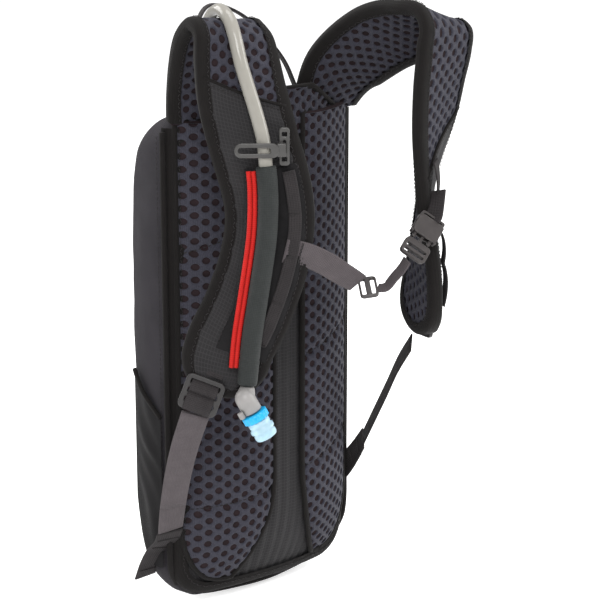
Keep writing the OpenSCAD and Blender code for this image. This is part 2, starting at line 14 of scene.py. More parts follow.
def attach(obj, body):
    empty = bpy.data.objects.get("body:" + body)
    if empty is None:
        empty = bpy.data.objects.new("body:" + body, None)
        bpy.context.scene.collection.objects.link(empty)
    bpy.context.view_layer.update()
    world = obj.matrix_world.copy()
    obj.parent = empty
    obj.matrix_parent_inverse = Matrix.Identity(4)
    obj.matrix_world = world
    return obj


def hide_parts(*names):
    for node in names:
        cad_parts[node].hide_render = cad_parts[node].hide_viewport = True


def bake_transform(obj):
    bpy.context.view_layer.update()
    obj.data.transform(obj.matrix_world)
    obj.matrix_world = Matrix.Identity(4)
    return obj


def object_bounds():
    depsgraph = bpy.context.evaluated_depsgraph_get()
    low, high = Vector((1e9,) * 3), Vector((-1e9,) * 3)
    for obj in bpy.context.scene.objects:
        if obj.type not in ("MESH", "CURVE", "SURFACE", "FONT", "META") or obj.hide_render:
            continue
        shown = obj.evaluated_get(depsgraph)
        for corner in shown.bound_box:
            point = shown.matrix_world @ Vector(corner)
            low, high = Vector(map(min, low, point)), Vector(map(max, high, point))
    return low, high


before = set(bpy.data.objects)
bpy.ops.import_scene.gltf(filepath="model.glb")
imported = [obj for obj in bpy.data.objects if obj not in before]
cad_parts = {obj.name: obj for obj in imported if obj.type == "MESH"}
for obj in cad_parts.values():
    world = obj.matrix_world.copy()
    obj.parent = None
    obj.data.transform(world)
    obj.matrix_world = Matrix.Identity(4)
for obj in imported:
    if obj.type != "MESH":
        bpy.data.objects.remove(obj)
cad_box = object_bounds()
random.seed(7)

POCKET_HEM = ((0.001, -0.284), (0.036, -0.250))  # (y, z) at the panel and at the front

# ---- the camera ----
TARGET = Vector((0.043, 0.0, -0.213))
CAMERA_AZIMUTH, CAMERA_HEIGHT, CAMERA_DISTANCE = math.radians(-40), math.radians(15), 1.5
CAMERA_LENS = 118.4


def make_camera():
    back = Vector((
        math.sin(CAMERA_AZIMUTH) * math.cos(CAMERA_HEIGHT),
        -math.cos(CAMERA_AZIMUTH) * math.cos(CAMERA_HEIGHT),
        math.sin(CAMERA_HEIGHT),
    ))
    camera = bpy.data.objects.new("photo_camera", bpy.data.cameras.new("photo_camera"))
    camera.data.lens = CAMERA_LENS
    camera.location = TARGET + back * CAMERA_DISTANCE
    camera.rotation_euler = (-back).to_track_quat("-Z", "Y").to_euler()
    bpy.context.scene.collection.objects.link(camera)
    bpy.context.scene.camera = camera


make_camera()


# ---- vectors and curves ----
def unit(v):
    v = np.asarray(v, float)
    return v / np.maximum(np.linalg.norm(v, axis=-1, keepdims=True), 1e-12)


def columns(*parts):
    """Points from their x, y and z values, or UV pairs from their two."""
    return np.stack(parts, axis=1)


def side_of(wide, along):
    """The direction across a strip: `wide` made square to `along`."""
    return unit(wide - along * np.sum(wide * along, axis=-1, keepdims=True))


def at_index(rows, u):
    """Points at row numbers u of a smooth curve through the rows."""
    p = np.asarray(rows, float)
    last = len(p) - 1
    u = np.atleast_1d(np.asarray(u, float))
    i = np.clip(np.floor(u).astype(int), 0, last - 1)
    f = (u - i)[:, None]
    before = np.vstack([2 * p[0] - p[1], p])[i]
    after = np.vstack([p, 2 * p[last] - p[last - 1]])[i + 2]
    start, end = p[i], p[i + 1]
    return 0.5 * (
        2 * start
        + (end - before) * f
        + (2 * before - 5 * start + 4 * end - after) * f**2
        + (3 * start - before - 3 * end + after) * f**3
    )


ROUTE_STEPS = 8  # points of a smooth line for each row of its route


def smooth_line(rows, per):
    return at_index(rows, np.linspace(0, len(rows) - 1, (len(rows) - 1) * per + 1))


def directions(points):
    return unit(np.gradient(np.asarray(points, float), axis=0))


def distance_along(points):
    steps = np.linalg.norm(np.diff(points, axis=0), axis=1)
    return np.concatenate([[0], np.cumsum(steps)])


def even_line(points, step):
    """The same line with points at an even spacing."""
    far = distance_along(points)
    at = np.linspace(0, far[-1], max(int(far[-1] / step), 2) + 1)
    return columns(*(np.interp(at, far, points[:, k]) for k in range(3)))


# ---- meshes ----
def add_object(name, data):
    thing = bpy.data.objects.new(name, data)
    bpy.context.scene.collection.objects.link(thing)
    return thing


def mesh_piece(name, points, faces, look, body, slot, uv=None, stands_for=(), smooth=True):
    """A named piece with its look, the body that it moves with and the CAD nodes it stands for."""
    mesh = bpy.data.meshes.new(name)
    mesh.from_pydata(np.asarray(points, float).tolist(), [], faces)
    if uv is not None:
        corners = np.zeros(len(mesh.loops), int)
        mesh.loops.foreach_get("vertex_index", corners)
        mesh.uv_layers.new(name="UVMap").data.foreach_set("uv", np.asarray(uv, float)[corners].ravel())
    return finish_piece(add_object(name, mesh), look, body, stands_for, smooth)


def finish_piece(piece, look, body, stands_for=(), smooth=True):
    mesh = piece.data
    if not mesh.materials:
        mesh.materials.append(look)
    work = bmesh.new()
    work.from_mesh(mesh)
    bmesh.ops.remove_doubles(work, verts=work.verts, dist=2e-6)
    bmesh.ops.dissolve_degenerate(work, dist=1e-6, edges=work.edges)
    loose = [v for v in work.verts if not v.link_faces]
    bmesh.ops.delete(work, geom=loose, context="VERTS")
    bmesh.ops.recalc_face_normals(work, faces=work.faces)
    for face in work.faces:
        face.smooth = smooth
    work.to_mesh(mesh)
    work.free()
    if body:
        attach(piece, body)
    if stands_for:
        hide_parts(*stands_for)
    return piece


def join(name, pieces):
    """One piece made of several that share a look; the first one's body and nodes stay."""
    bpy.ops.object.select_all(action="DESELECT")
    for piece in pieces:
        piece.select_set(True)
    bpy.context.view_layer.objects.active = pieces[0]
    bpy.ops.object.join()
    pieces[0].name = name
    return pieces[0]


def quads(rows, cols, wrap=False):
    """Faces of a grid of points, row by row; wrap closes each row into a ring."""
    across = cols if wrap else cols - 1
    return [
        (r * cols + c, r * cols + (c + 1) % cols, (r + 1) * cols + (c + 1) % cols, (r + 1) * cols + c)
        for r in range(rows - 1)
        for c in range(across)
    ]


def uv_grid(across, along):
    return np.stack(np.meshgrid(across, along), axis=-1).reshape(-1, 2)


def loft(name, rings, look, body, slot, stands_for=(), caps=True, **more):
    """A closed form through rings of points. Its UV is the distance round and along, in metres."""
    rings = np.asarray(rings, float)
    rows, cols = rings.shape[:2]
    faces = quads(rows, cols, wrap=True)
    if caps:
        faces.append(tuple(range(cols)))
        faces.append(tuple((rows - 1) * cols + c for c in reversed(range(cols))))
    middle = rings[rows // 2]
    round_it = distance_along(middle)
    along = distance_along(rings.mean(axis=1))
    uv = uv_grid(round_it, along)
    return mesh_piece(name, rings.reshape(-1, 3), faces, look, body, slot, uv, stands_for, **more)


def strip(name, rows, across, along, look, body, slot, stands_for=()):
    """An open tape through rows of points; across and along are its UV distances in metres."""
    points = np.array(rows)
    uv = uv_grid(across, along)
    return mesh_piece(name, points.reshape(-1, 3), quads(*points.shape[:2]), look, body, slot, uv,
        stands_for)


def surface(name, place, us, vs, look, body, slot, uv_size, stands_for=(), **more):
    """An open sheet: place(u, v) gives its points. uv_size scales u and v to metres."""
    u, v = np.meshgrid(us, vs)
    points = place(u.ravel(), v.ravel())
    uv = columns(u.ravel() * uv_size[0], v.ravel() * uv_size[1])
    return mesh_piece(name, points, quads(len(vs), len(us)), look, body, slot, uv, stands_for, **more)


def circle_ring(centre, side, face, radius, sides):
    turn = np.linspace(0, 2 * math.pi, sides, endpoint=False)
    return centre + radius * (np.outer(np.cos(turn), side) + np.outer(np.sin(turn), face))


def tube(name, line, diameter, look, body, slot, stands_for=(), sides=12, hint=(1, 0.3, 0.1)):
    """A round cord; diameter is one number, or one for each point of the line."""
    line = np.asarray(line, float)
    size = np.broadcast_to(np.asarray(diameter, float), (len(line),))
    along = directions(line)
    side = side_of(np.broadcast_to(np.array(hint, float), line.shape), along)
    face = np.cross(side, along)
    rings = [circle_ring(line[i], side[i], face[i], size[i] / 2, sides) for i in range(len(line))]
    return loft(name, rings, look, body, slot, stands_for)


def lathe(name, profile, foot, direction, look, body, slot, stands_for=(), sides=40, flutes=0, depth=0.0):
    """A turned form: profile is (height, radius) pairs along the direction from the foot."""
    along = unit(direction)
    side = unit(np.cross(along, [0, 0, 1] if abs(along[2]) < 0.9 else [1, 0, 0]))
    face = np.cross(along, side)
    turn = np.linspace(0, 2 * math.pi, sides, endpoint=False)
    rings = []
    for height, radius in profile:
        ripple = radius - depth * (0.5 - 0.5 * np.cos(flutes * turn)) if flutes else np.full(sides, radius)
        spokes = np.outer(np.cos(turn), side) + np.outer(np.sin(turn), face)
        rings.append(np.asarray(foot) + along * height + spokes * ripple[:, None])
    return loft(name, rings, look, body, slot, stands_for)


def ribbon(name, route, wide, width, thick, look, body, slot, stands_for=(), per=ROUTE_STEPS, ribs=9,
        lift=0.0, wave=0.0):
    """Webbing along a route: ribbed lengthwise on both faces, with rounded edges."""
    line = smooth_line(route, per)
    width_way = smooth_line(wide, per)
    along = directions(line)
    side = side_of(width_way, along)
    face = np.cross(side, along)
    across = np.linspace(-1, 1, ribs * 4 + 1)
    rib = 0.5 + 0.5 * np.cos((across + 1) * ribs * math.pi)
    edge = np.sqrt(np.maximum(1 - np.abs(across) ** 16, 0.05))
    high = thick / 2 * (0.72 + 0.28 * (1 - rib)) * edge
    rings = []
    for i in range(len(line)):
        bow = wave * math.sin(i * 1.9) * (1 - across**2)
        top = line[i] + np.outer(across * width / 2, side[i]) + np.outer(high + lift + bow, face[i])
        low = line[i] + np.outer(across * width / 2, side[i]) + np.outer(-high + lift + bow, face[i])
        rings.append(np.vstack([top, low[::-1]]))
    return loft(name, rings, look, body, slot, stands_for)


def frame_at(place, across, face):
    """Columns x, y, z of a small frame, and its place: as `placed` in the CAD source."""
    z = unit(face)
    x = side_of(np.asarray(across, float), z)
    return np.asarray(place, float), columns(x, np.cross(z, x), z)


def plate(name, outline_size, radius, thick, slots, at, look, body, stands_for=(), bevel=0.0005,
        lift=(0, 0, 0)):
    """A moulded plate with rounded corners and rounded slots. slots are (x, y, width, height, radius)."""
    shape = bpy.data.curves.new(name, "CURVE")
    shape.dimensions, shape.fill_mode = "2D", "BOTH"
    shape.extrude, shape.bevel_depth, shape.bevel_resolution = thick / 2 - bevel, bevel, 2
    shape.offset = -bevel
    for x, y, w, h, r in [(0, 0, *outline_size, radius)] + list(slots):
        add_round_rect(shape, x, y, w, h, r)
    piece = add_object(name, shape)
    origin, axes = at
    flat_piece = piece.evaluated_get(bpy.context.evaluated_depsgraph_get())
    points_mesh = bpy.data.meshes.new_from_object(flat_piece)
    bpy.data.objects.remove(piece)
    solid = add_object(name, points_mesh)
    for vertex in points_mesh.vertices:
        vertex.co = Vector(origin + axes @ (np.array(vertex.co) + np.array(lift)))
    return finish_piece(solid, look, body, stands_for, smooth=False)


def add_round_rect(shape, x, y, w, h, r):
    spline = shape.splines.new("POLY")
    corners = []
    for cx, cy, start in ((1, 1, 0), (-1, 1, 90), (-1, -1, 180), (1, -1, 270)):
        for step in range(6):
            turn = math.radians(start + step * 18)
            corners.append((
                x + cx * (w / 2 - r) + r * math.cos(turn), y + cy * (h / 2 - r) + r * math.sin(turn), 0, 1
            ))
    spline.points.add(len(corners) - 1)
    for point, corner in zip(spline.points, corners):
        point.co = corner
    spline.use_cyclic_u = True


def stitches(name, line, face, length=0.0022, pitch=0.0036, thick=0.0004, zigzag=0.0):
    """A row of thread stitches along a line that lies on a surface; face is the surface's outward way."""
    line = np.asarray(line, float)
    far = distance_along(line)
    faces_out = np.broadcast_to(np.asarray(face, float), line.shape)
    points, faces = [], []
    for number, start in enumerate(np.arange(pitch / 2, far[-1] - length, pitch)):
        ends = columns(*(np.interp((start, start + length), far, line[:, k]) for k in range(3)))
        out = unit([np.interp(start, far, faces_out[:, k]) for k in range(3)])
        across = unit(np.cross(out, ends[1] - ends[0]))
        lean = across * zigzag * (1 if number % 2 else -1)
        a, b = ends[0] - lean, ends[1] + lean
        first = len(points)
        for end, size in ((a, 0.5), (a * 0.75 + b * 0.25, 1), (a * 0.25 + b * 0.75, 1), (b, 0.5)):
            points += [end - across * thick * size, end + out * thick * size, end + across * thick * size]
        for ring in range(3):
            low = first + ring * 3
            faces += [(low, low + 1, low + 4, low + 3), (low + 1, low + 2, low + 5, low + 4)]
            faces.append((low + 2, low, low + 3, low + 5))
        faces += [(first, first + 2, first + 1), (first + 9, first + 10, first + 11)]
    return mesh_piece(name, points, faces, LOOK["thread"], "pack", "binding")


TACK_THREAD, TACK_LEAN = 0.0010, 0.0008


def bar_tacks(name, route, wide, places, half, turns, lift, slot):
    """Zigzag rows of thread across both faces of a webbing; places are points of its smooth line."""
    line = smooth_line(route, ROUTE_STEPS)
    along = directions(line)
    side = side_of(smooth_line(wide, ROUTE_STEPS), along)
    face = np.cross(side, along)
    across = np.linspace(-half, half, turns)
    tacks = []
    for index in places:
        for out in (1, -1):
            row = line[index] + np.outer(across, side[index]) + face[index] * lift * out
            row = row + np.outer(TACK_LEAN * (np.arange(turns) % 2), along[index])
            tacks.append(tube(name, row, TACK_THREAD, LOOK["thread"], "pack", slot, sides=6))
    join(name, tacks)


# ---- spacer mesh: a web with real holes ----
HOLE = 0.0027
CELL_X, CELL_Y = 0.0060, 0.0094


def cell_rings():
    """The outline of one cell of the staggered holes, and its hole, as matching rings."""
    reach = (CELL_X**2 + (CELL_Y / 2) ** 2) / 2
    tip = reach / CELL_X
    neck = (reach - (CELL_Y / 2) ** 2) / CELL_X
    half_y = CELL_Y / 2
    corners = np.array([(tip, 0), (neck, half_y), (-neck, half_y), (-tip, 0), (-neck, -half_y),
        (neck, -half_y)])
    outline = []
    for i in range(6):
        a, b = corners[i], corners[(i + 1) % 6]
        steps = (0,) if i in (1, 4) else (0, 1 / 3, 2 / 3)
        outline += [a * (1 - f) + b * f for f in steps]
    outline = np.array(outline)
    turn = np.arctan2(outline[:, 1], outline[:, 0])
    hole = columns(np.cos(turn), np.sin(turn)) * HOLE
    return outline, hole


def web(name, place, s_range, t_range, limit, look, body, slot, stands_for=(), thick=0.0014):
    """Spacer mesh over a surface: place(s, t, drop) gives points, and limit(t) the lowest and highest s."""
    outline, hole = cell_rings()
    count_s = int((s_range[1] - s_range[0]) / CELL_X) + 3
    count_t = int((t_range[1] - t_range[0]) / CELL_Y) + 3
    i, j = np.meshgrid(np.arange(-1, count_s), np.arange(-1, count_t))
    centres = np.stack([
        s_range[0] + i.ravel() * CELL_X, t_range[0] + (j.ravel() + 0.5 * (i.ravel() % 2)) * CELL_Y
    ], axis=1)
    rings = [(outline, 0.0), (hole * 1.16, 0.0), (hole, -0.25 * thick), (hole * 0.93, -thick)]
    sides = len(outline)
    flat = np.concatenate([centres[:, None, :] + shape[None] for shape, _ in rings], axis=1).reshape(-1, 2)
    drop = np.concatenate([np.full(sides, h) for _, h in rings])
    drop = np.tile(drop, len(centres))
    t = np.clip(flat[:, 1], *t_range)
    low, high = limit(t)
    s = np.clip(flat[:, 0], low, high)
    moved = (np.abs(s - flat[:, 0]) + np.abs(t - flat[:, 1])).reshape(len(centres), -1)
    points = place(s, t, drop)
    faces = []
    per_cell = sides * len(rings)
    for cell in np.flatnonzero(moved[:, :sides].min(axis=1) < 1e-9):
        base = cell * per_cell
        for ring in range(len(rings) - 1):
            for k in range(sides):
                a, b = base + ring * sides + k, base + ring * sides + (k + 1) % sides
                faces.append((a, b, b + sides, a + sides))
    return mesh_piece(name, points, faces, look, body, slot, columns(s, t), stands_for)


# ---- looks: small node trees in code ----
def new_look(name, rough, **fixed):
    look = bpy.data.materials.new(name)
    look.use_nodes = True
    shader = look.node_tree.nodes["Principled BSDF"]
    shader.inputs["Roughness"].default_value = rough
    shader.inputs["Specular IOR Level"].default_value = 0.15 if rough > 0.6 else 0.35
    for socket, value in fixed.items():
        shader.inputs[socket.replace("_", " ")].default_value = value
    return look, look.node_tree, shader


def wire(tree, value, socket):
    if isinstance(value, bpy.types.NodeSocket):
        tree.links.new(value, socket)
    else:
        socket.default_value = value


def calc(tree, what, a, b=0.0, c=0.0):
    step = tree.nodes.new("ShaderNodeMath")
    step.operation = what
    for socket, value in zip(step.inputs, (a, b, c)):
        wire(tree, value, socket)
    return step.outputs[0]


def grain(tree, scale, detail=3.0, where="Object"):
    """Noise at so many lumps per metre."""
    place = tree.nodes.new("ShaderNodeTexCoord")
    lumps = tree.nodes.new("ShaderNodeTexNoise")
    lumps.inputs["Scale"].default_value = scale
    lumps.inputs["Detail"].default_value = detail
    tree.links.new(place.outputs[where], lumps.inputs["Vector"])
    return lumps.outputs["Fac"]


def uv_axes(tree):
    place = tree.nodes.new("ShaderNodeTexCoord")
    parts = tree.nodes.new("ShaderNodeSeparateXYZ")
    tree.links.new(place.outputs["UV"], parts.inputs[0])
    return parts.outputs[0], parts.outputs[1]


def blend_colours(tree, share, dark, light):
    mix = tree.nodes.new("ShaderNodeMix")
    mix.data_type = "RGBA"
    wire(tree, share, mix.inputs["Factor"])
    wire(tree, (*dark, 1) if isinstance(dark, tuple) else dark, mix.inputs["A"])
    wire(tree, (*light, 1) if isinstance(light, tuple) else light, mix.inputs["B"])
    return mix.outputs["Result"]


def raise_by(tree, shader, height, depth, strength=1.0):
    bump = tree.nodes.new("ShaderNodeBump")
    bump.inputs["Distance"].default_value = depth
    bump.inputs["Strength"].default_value = strength
    tree.links.new(height, bump.inputs["Height"])
    tree.links.new(bump.outputs[0], shader.inputs["Normal"])


def waves(tree, axis, pitch):
    """A 0 to 1 wave along an axis, one for each pitch."""
    turn = calc(tree, "SINE", calc(tree, "MULTIPLY", axis, 2 * math.pi / pitch))
    return calc(tree, "MULTIPLY_ADD", turn, 0.5, 0.5)


def woven(name, dark, light, pitch, rough=0.85, sheen=0.03, grid=0.0, grid_light=None, depth=0.00012):
    """Plain weave on the piece's own UV, with large soft colour changes and an optional ripstop grid."""
    look, tree, shader = new_look(name, rough, Sheen_Weight=sheen)
    u, v = uv_axes(tree)
    thread = calc(tree, "MULTIPLY", waves(tree, u, pitch), waves(tree, v, pitch))
    worn = calc(tree, "MULTIPLY_ADD", grain(tree, 45), 0.7, calc(tree, "MULTIPLY", thread, 0.35))
    colour = blend_colours(tree, worn, dark, light)
    height = thread
    if grid:
        lines = calc(tree, "MAXIMUM", waves(tree, u, grid), waves(tree, v, grid))
        line = calc(tree, "GREATER_THAN", lines, 0.93)
        colour = blend_colours(tree, calc(tree, "MULTIPLY", line, 0.75), colour, grid_light)
        height = calc(tree, "ADD", thread, calc(tree, "MULTIPLY", line, 1.5))
    tree.links.new(colour, shader.inputs["Base Color"])
    raise_by(tree, shader, height, depth)
    return look


def knit(name, dark, light):
    """The yarn web between the holes of a spacer mesh."""
    look, tree, shader = new_look(name, 0.8, Sheen_Weight=0.05)
    u, v = uv_axes(tree)
    loops = calc(tree, "MULTIPLY", waves(tree, u, 0.0009), waves(tree, v, 0.0006))
    share = calc(tree, "MULTIPLY_ADD", grain(tree, 700), 0.6, calc(tree, "MULTIPLY", loops, 0.4))
    tree.links.new(blend_colours(tree, share, dark, light), shader.inputs["Base Color"])
    raise_by(tree, shader, calc(tree, "ADD", loops, grain(tree, 1500)), 0.0002)
    return look


def ribbed(name, dark, light, rib, cross, rough=0.75):
    """Webbing or tape: fine ribs along it and thread turns across."""
    look, tree, shader = new_look(name, rough, Sheen_Weight=0.02)
    u, v = uv_axes(tree)
    height = calc(
        tree, "MULTIPLY_ADD", waves(tree, v, cross), 0.6, calc(tree, "MULTIPLY", waves(tree, u, rib), 0.4)
    )
    share = calc(tree, "MULTIPLY_ADD", grain(tree, 120), 0.5, calc(tree, "MULTIPLY", height, 0.5))
    tree.links.new(blend_colours(tree, share, dark, light), shader.inputs["Base Color"])
    raise_by(tree, shader, height, 0.0002)
    return look


def moulded(name, dark, light, rough, pits=0.00005, **fixed):
    """Moulded plastic or rubber: faint colour change, fine pitted skin and uneven gloss."""
    look, tree, shader = new_look(name, rough, **fixed)
    tree.links.new(blend_colours(tree, grain(tree, 160), dark, light), shader.inputs["Base Color"])
    uneven = calc(tree, "MULTIPLY_ADD", grain(tree, 300), 0.2, rough - 0.1)
    tree.links.new(uneven, shader.inputs["Roughness"])
    if pits:
        raise_by(tree, shader, grain(tree, 2500), pits)
    return look


LOOK = {
    "web": knit("slate_web", (0.015, 0.015, 0.021), (0.048, 0.047, 0.064)),
    "foam": moulded("maroon_foam", (0.006, 0.0040, 0.0045), (0.022, 0.013, 0.015), 0.95),
    "ripstop": woven(
        "ripstop", (0.010, 0.0095, 0.010), (0.026, 0.025, 0.026), 0.0007, grid=0.0026,
        grid_light=(0.030, 0.028, 0.030)
    ),
    "gusset": woven("gusset_cloth", (0.010, 0.009, 0.011), (0.026, 0.023, 0.028), 0.0006),
    "stretch": woven("stretch_knit", (0.003, 0.0028, 0.003), (0.012, 0.011, 0.012), 0.0009),
    "binding": ribbed("binding_tape", (0.002, 0.0016, 0.0015), (0.0085, 0.0070, 0.0066), 0.0013, 0.0006,
        0.85),
    "webbing": ribbed("webbing_taupe", (0.034, 0.029, 0.031), (0.085, 0.073, 0.077), 0.0011, 0.0012),
    "webbing_dark": ribbed("webbing_dark", (0.008, 0.007, 0.0075), (0.032, 0.028, 0.029), 0.0011, 0.0012),
    "thread": moulded("thread", (0.010, 0.009, 0.009), (0.030, 0.027, 0.028), 0.7),
    "dark_plastic": moulded("plastic_dark", (0.012, 0.011, 0.011), (0.026, 0.024, 0.024), 0.40),
    "brown_plastic": moulded("plastic_brown", (0.022, 0.019, 0.019), (0.045, 0.039, 0.038), 0.4),
    "smoky": moulded("plastic_smoky", (0.030, 0.029, 0.028), (0.055, 0.053, 0.051), 0.20, pits=0.0),
    "hose": moulded(
        "hose_milky", (0.235, 0.225, 0.200), (0.280, 0.268, 0.240), 0.15, pits=0.0,
        Transmission_Weight=0.15, IOR=1.4
    ),
    "sleeve": ribbed("sleeve_weave", (0.009, 0.010, 0.010), (0.026, 0.029, 0.028), 0.0012, 0.0012, 0.62),
    "red": ribbed("red_cord", (0.26, 0.005, 0.004), (0.50, 0.014, 0.010), 0.0010, 0.0014, 0.62),
    "grey_valve": moulded("valve_grey", (0.17, 0.165, 0.16), (0.25, 0.24, 0.235), 0.38),
    "blue_valve": moulded("valve_blue", (0.005, 0.25, 0.50), (0.014, 0.36, 0.64), 0.3),
    "cap": moulded("cap_silicone", (0.48, 0.70, 0.82), (0.62, 0.82, 0.90), 0.22, pits=0.0,
        Transmission_Weight=0.55, IOR=1.38),
    "film": moulded("reservoir_film", (0.42, 0.56, 0.66), (0.50, 0.66, 0.76), 0.2, Transmission_Weight=0.6),
    "floor": moulded("pale_floor", (0.80, 0.80, 0.80), (0.84, 0.84, 0.84), 0.9),
}

# ---- the bag's surfaces, as in part.scad ----
HALF_W, BULGE, DEPTH, GUSSET = 0.084, 0.034, 0.058, 0.038
TOP, BOTTOM = 0.059, 0.425
PANEL_R = (HALF_W**2 + BULGE**2) / (2 * BULGE)
FRONT_R = (HALF_W**2 + (DEPTH - GUSSET) ** 2) / (2 * (DEPTH - GUSSET))
SEAT, PAD_T, CHANNEL_W, PAD_OUTER = 0.0016, 0.008, 0.027, HALF_W - 0.005


def bag_fade(z, reach_top, reach_bottom):
    f = np.minimum(np.minimum((-TOP - z) / reach_top, (z + BOTTOM) / reach_bottom), 1)
    return np.sqrt(np.maximum(1 - (1 - f) ** 2, 0.0001))


def panel_curl(z):
    return np.maximum(0, 1 - (z + BOTTOM) / 0.080) ** 2


def panel_y(x, z):
    bulge = PANEL_R - BULGE - np.sqrt(PANEL_R**2 - x * x)
    return bulge * (1 - 0.65 * panel_curl(z)) + 0.004 * panel_curl(z)


def front_y(x, z):
    back = 0.004 * panel_curl(z) + 0.003
    full = DEPTH - FRONT_R + np.sqrt(FRONT_R**2 - x * x)
    return back + (full - back) * bag_fade(z, 0.080, 0.110)


def bag_half(z, inset=0.0):
    return HALF_W - inset - 0.026 * (1 - bag_fade(z, 0.030, 0.034))


def channel_half(z):
    return CHANNEL_W / 2 + 0.030 * np.maximum(0, 1 - (z + BOTTOM - 0.008) / 0.090) ** 2


def pad_outer(z):
    """The pad's outer edge: straight up to the strap's root, and rounded at the bottom."""
    low = np.clip((z + BOTTOM - 0.014) / 0.050, 0, 1)
    return PAD_OUTER - 0.030 * (1 - np.sqrt(np.maximum(1 - (1 - low) ** 2, 0)))


PAD_TOP, PAD_LOW = -TOP - 0.002, -BOTTOM + 0.014
PAD_RIM = 0.003  # the pad's height at its edge


CREASE_STRETCH = 1.6  # creases are this much longer upwards than across


def crumple(piece, size, amount, seed=0.0):
    """Soft creases: each point moves along its normal by a smooth noise."""
    mesh = piece.data
    moved = []
    for vertex in mesh.vertices:
        x, y, z = vertex.co
        lumps = noise.noise(Vector((x / size + seed, y / size, z / (size * CREASE_STRETCH))))
        moved.append(vertex.co + vertex.normal * amount * lumps)
    for vertex, place in zip(mesh.vertices, moved):
        vertex.co = place


BACK_POINTS, SIDE_POINTS, FRONT_POINTS, BAG_ROWS = 40, 12, 48, 90
SIDE_SWELL = 0.0022


def build_bag():
    heights = -TOP - (BOTTOM - TOP) * (1 - np.cos(np.linspace(0, math.pi, BAG_ROWS))) / 2
    rings = []
    for z in heights:
        half = bag_half(z)
        back_x = np.linspace(-half, half, BACK_POINTS)
        back = columns(back_x, panel_y(back_x, z) + 0.0004, np.full(BACK_POINTS, z))
        y0, y1 = back[-1, 1], front_y(half, z)
        side = np.linspace(0, 1, SIDE_POINTS + 2)[1:-1]
        swell = SIDE_SWELL * np.sin(side * math.pi)
        right = columns(half + swell, y0 + (y1 - y0) * side, np.full(SIDE_POINTS, z))
        front_x = np.linspace(half, -half, FRONT_POINTS)
        front = columns(front_x, front_y(front_x, z), np.full(FRONT_POINTS, z))
        left = right[::-1] * [-1, 1, 1]
        rings.append(np.vstack([back, right, front, left]))
    bag = loft("bag_shell", rings, LOOK["gusset"], "pack", "gusset_cloth", ["main_shell", "back_panel"])
    crumple(bag, 0.030, 0.0016)
    crumple(bag, 0.011, 0.0005, 5.0)


build_bag()


def build_channel():
    """The ripstop panel between and around the two pads."""
    def place(f, z):
        half = bag_half(z) - 0.001
        x = f * half
        return columns(x, panel_y(x, z) - 0.0012 - 0.0006 * np.cos(f * 60), z)

    return surface(
        "back_panel_cloth", place, np.linspace(-1, 1, 90), np.linspace(-BOTTOM + 0.002, -TOP - 0.002, 120),
        LOOK["ripstop"], "pack", "ripstop", (HALF_W, 1),
    )


build_channel()

# Quilting seams of the two pads: (x, z) at both ends of each.
PAD_SEAMS = {
    -1: [((-0.088, -0.352), (-0.010, -0.340)), ((-0.086, -0.160), (-0.050, -0.146))],
    1: [((0.014, -0.243), (0.080, -0.226)), ((0.014, -0.331), (0.080, -0.314))],
}


def seam_dip(x, z, seams, width=0.0035):
    dip = np.zeros_like(x)
    for (x0, z0), (x1, z1) in seams:
        line_z = z0 + (z1 - z0) * (x - x0) / (x1 - x0)
        dip = np.maximum(dip, np.exp(-(((z - line_z) / width) ** 2)))
    return dip


def pad_height(k, x, z):
    """How far the pad stands out of the panel: crowned, and drawn in along its seams and edge."""
    inner, outer = channel_half(z), pad_outer(z)
    f = np.clip((np.abs(x) - inner) / np.maximum(outer - inner, 1e-6), 0, 1)
    g = np.clip((z - PAD_LOW) / (PAD_TOP - PAD_LOW), 0, 1)
    crown = (1 - (2 * f - 1) ** 4) * (1 - np.clip(1 - 2 * g, 0, 1) ** 16)
    return SEAT + PAD_RIM + (PAD_T - PAD_RIM) * crown - 0.0026 * seam_dip(x, z, PAD_SEAMS[k])


def build_pad(k, side_name):
    def place(f, z):
        x = k * (channel_half(z) + f * (pad_outer(z) - channel_half(z)))
        return columns(x, panel_y(x, z) - pad_height(k, x, z) + 0.0013, z)

    heights = np.linspace(PAD_LOW, PAD_TOP, 110)
    cross = np.linspace(0, 1, 26)
    rings = []
    for z in heights:
        face = place(cross, np.full(len(cross), z))
        back = face.copy()
        back[:, 1] = panel_y(back[:, 0], z) - SEAT
        rings.append(np.vstack([face, back[::-1]]))
    foam = loft("back_pad_foam_" + side_name, rings, LOOK["foam"], "pack", "spacer_mesh",
        ["back_pad_" + side_name])

    def on_pad(s, t, drop):
        return columns(k * s, panel_y(s, t) - pad_height(k, k * s, t) - drop, t)

    def limit(t):
        return channel_half(t) + 0.001, pad_outer(t) - 0.001

    web("back_pad_mesh_" + side_name, on_pad, (0.010, 0.082), (PAD_LOW + 0.001, PAD_TOP - 0.001), limit,
        LOOK["web"], "pack", "spacer_mesh")
    edge = [(channel_half(z), z) for z in heights] + [(pad_outer(z), z) for z in heights[::-1]]
    edge_line = np.array([
        (k * x, panel_y(x, z) - SEAT - 0.0028, z) for x, z in edge + edge[:1]
    ])
    tube("pad_edge_" + side_name, even_line(edge_line, 0.004), 0.0042, LOOK["binding"], "pack", "binding",
        sides=8)
    for number, ((x0, z0), (x1, z1)) in enumerate(PAD_SEAMS[k]):
        x = np.linspace(x0, x1, 30)
        z = z0 + (z1 - z0) * (x - x0) / (x1 - x0)
        inside = (np.abs(x) > channel_half(z) + 0.002) & (np.abs(x) < pad_outer(z) - 0.002)
        x, z = x[inside], z[inside]
        line = columns(x, panel_y(x, z) - pad_height(k, x, z) - 0.0002, z)
        stitches(f"pad_seam_{side_name}_{number + 1}", line, (0, -1, 0))


for k, side_name in ((-1, "right"), (1, "left")):
    build_pad(k, side_name)


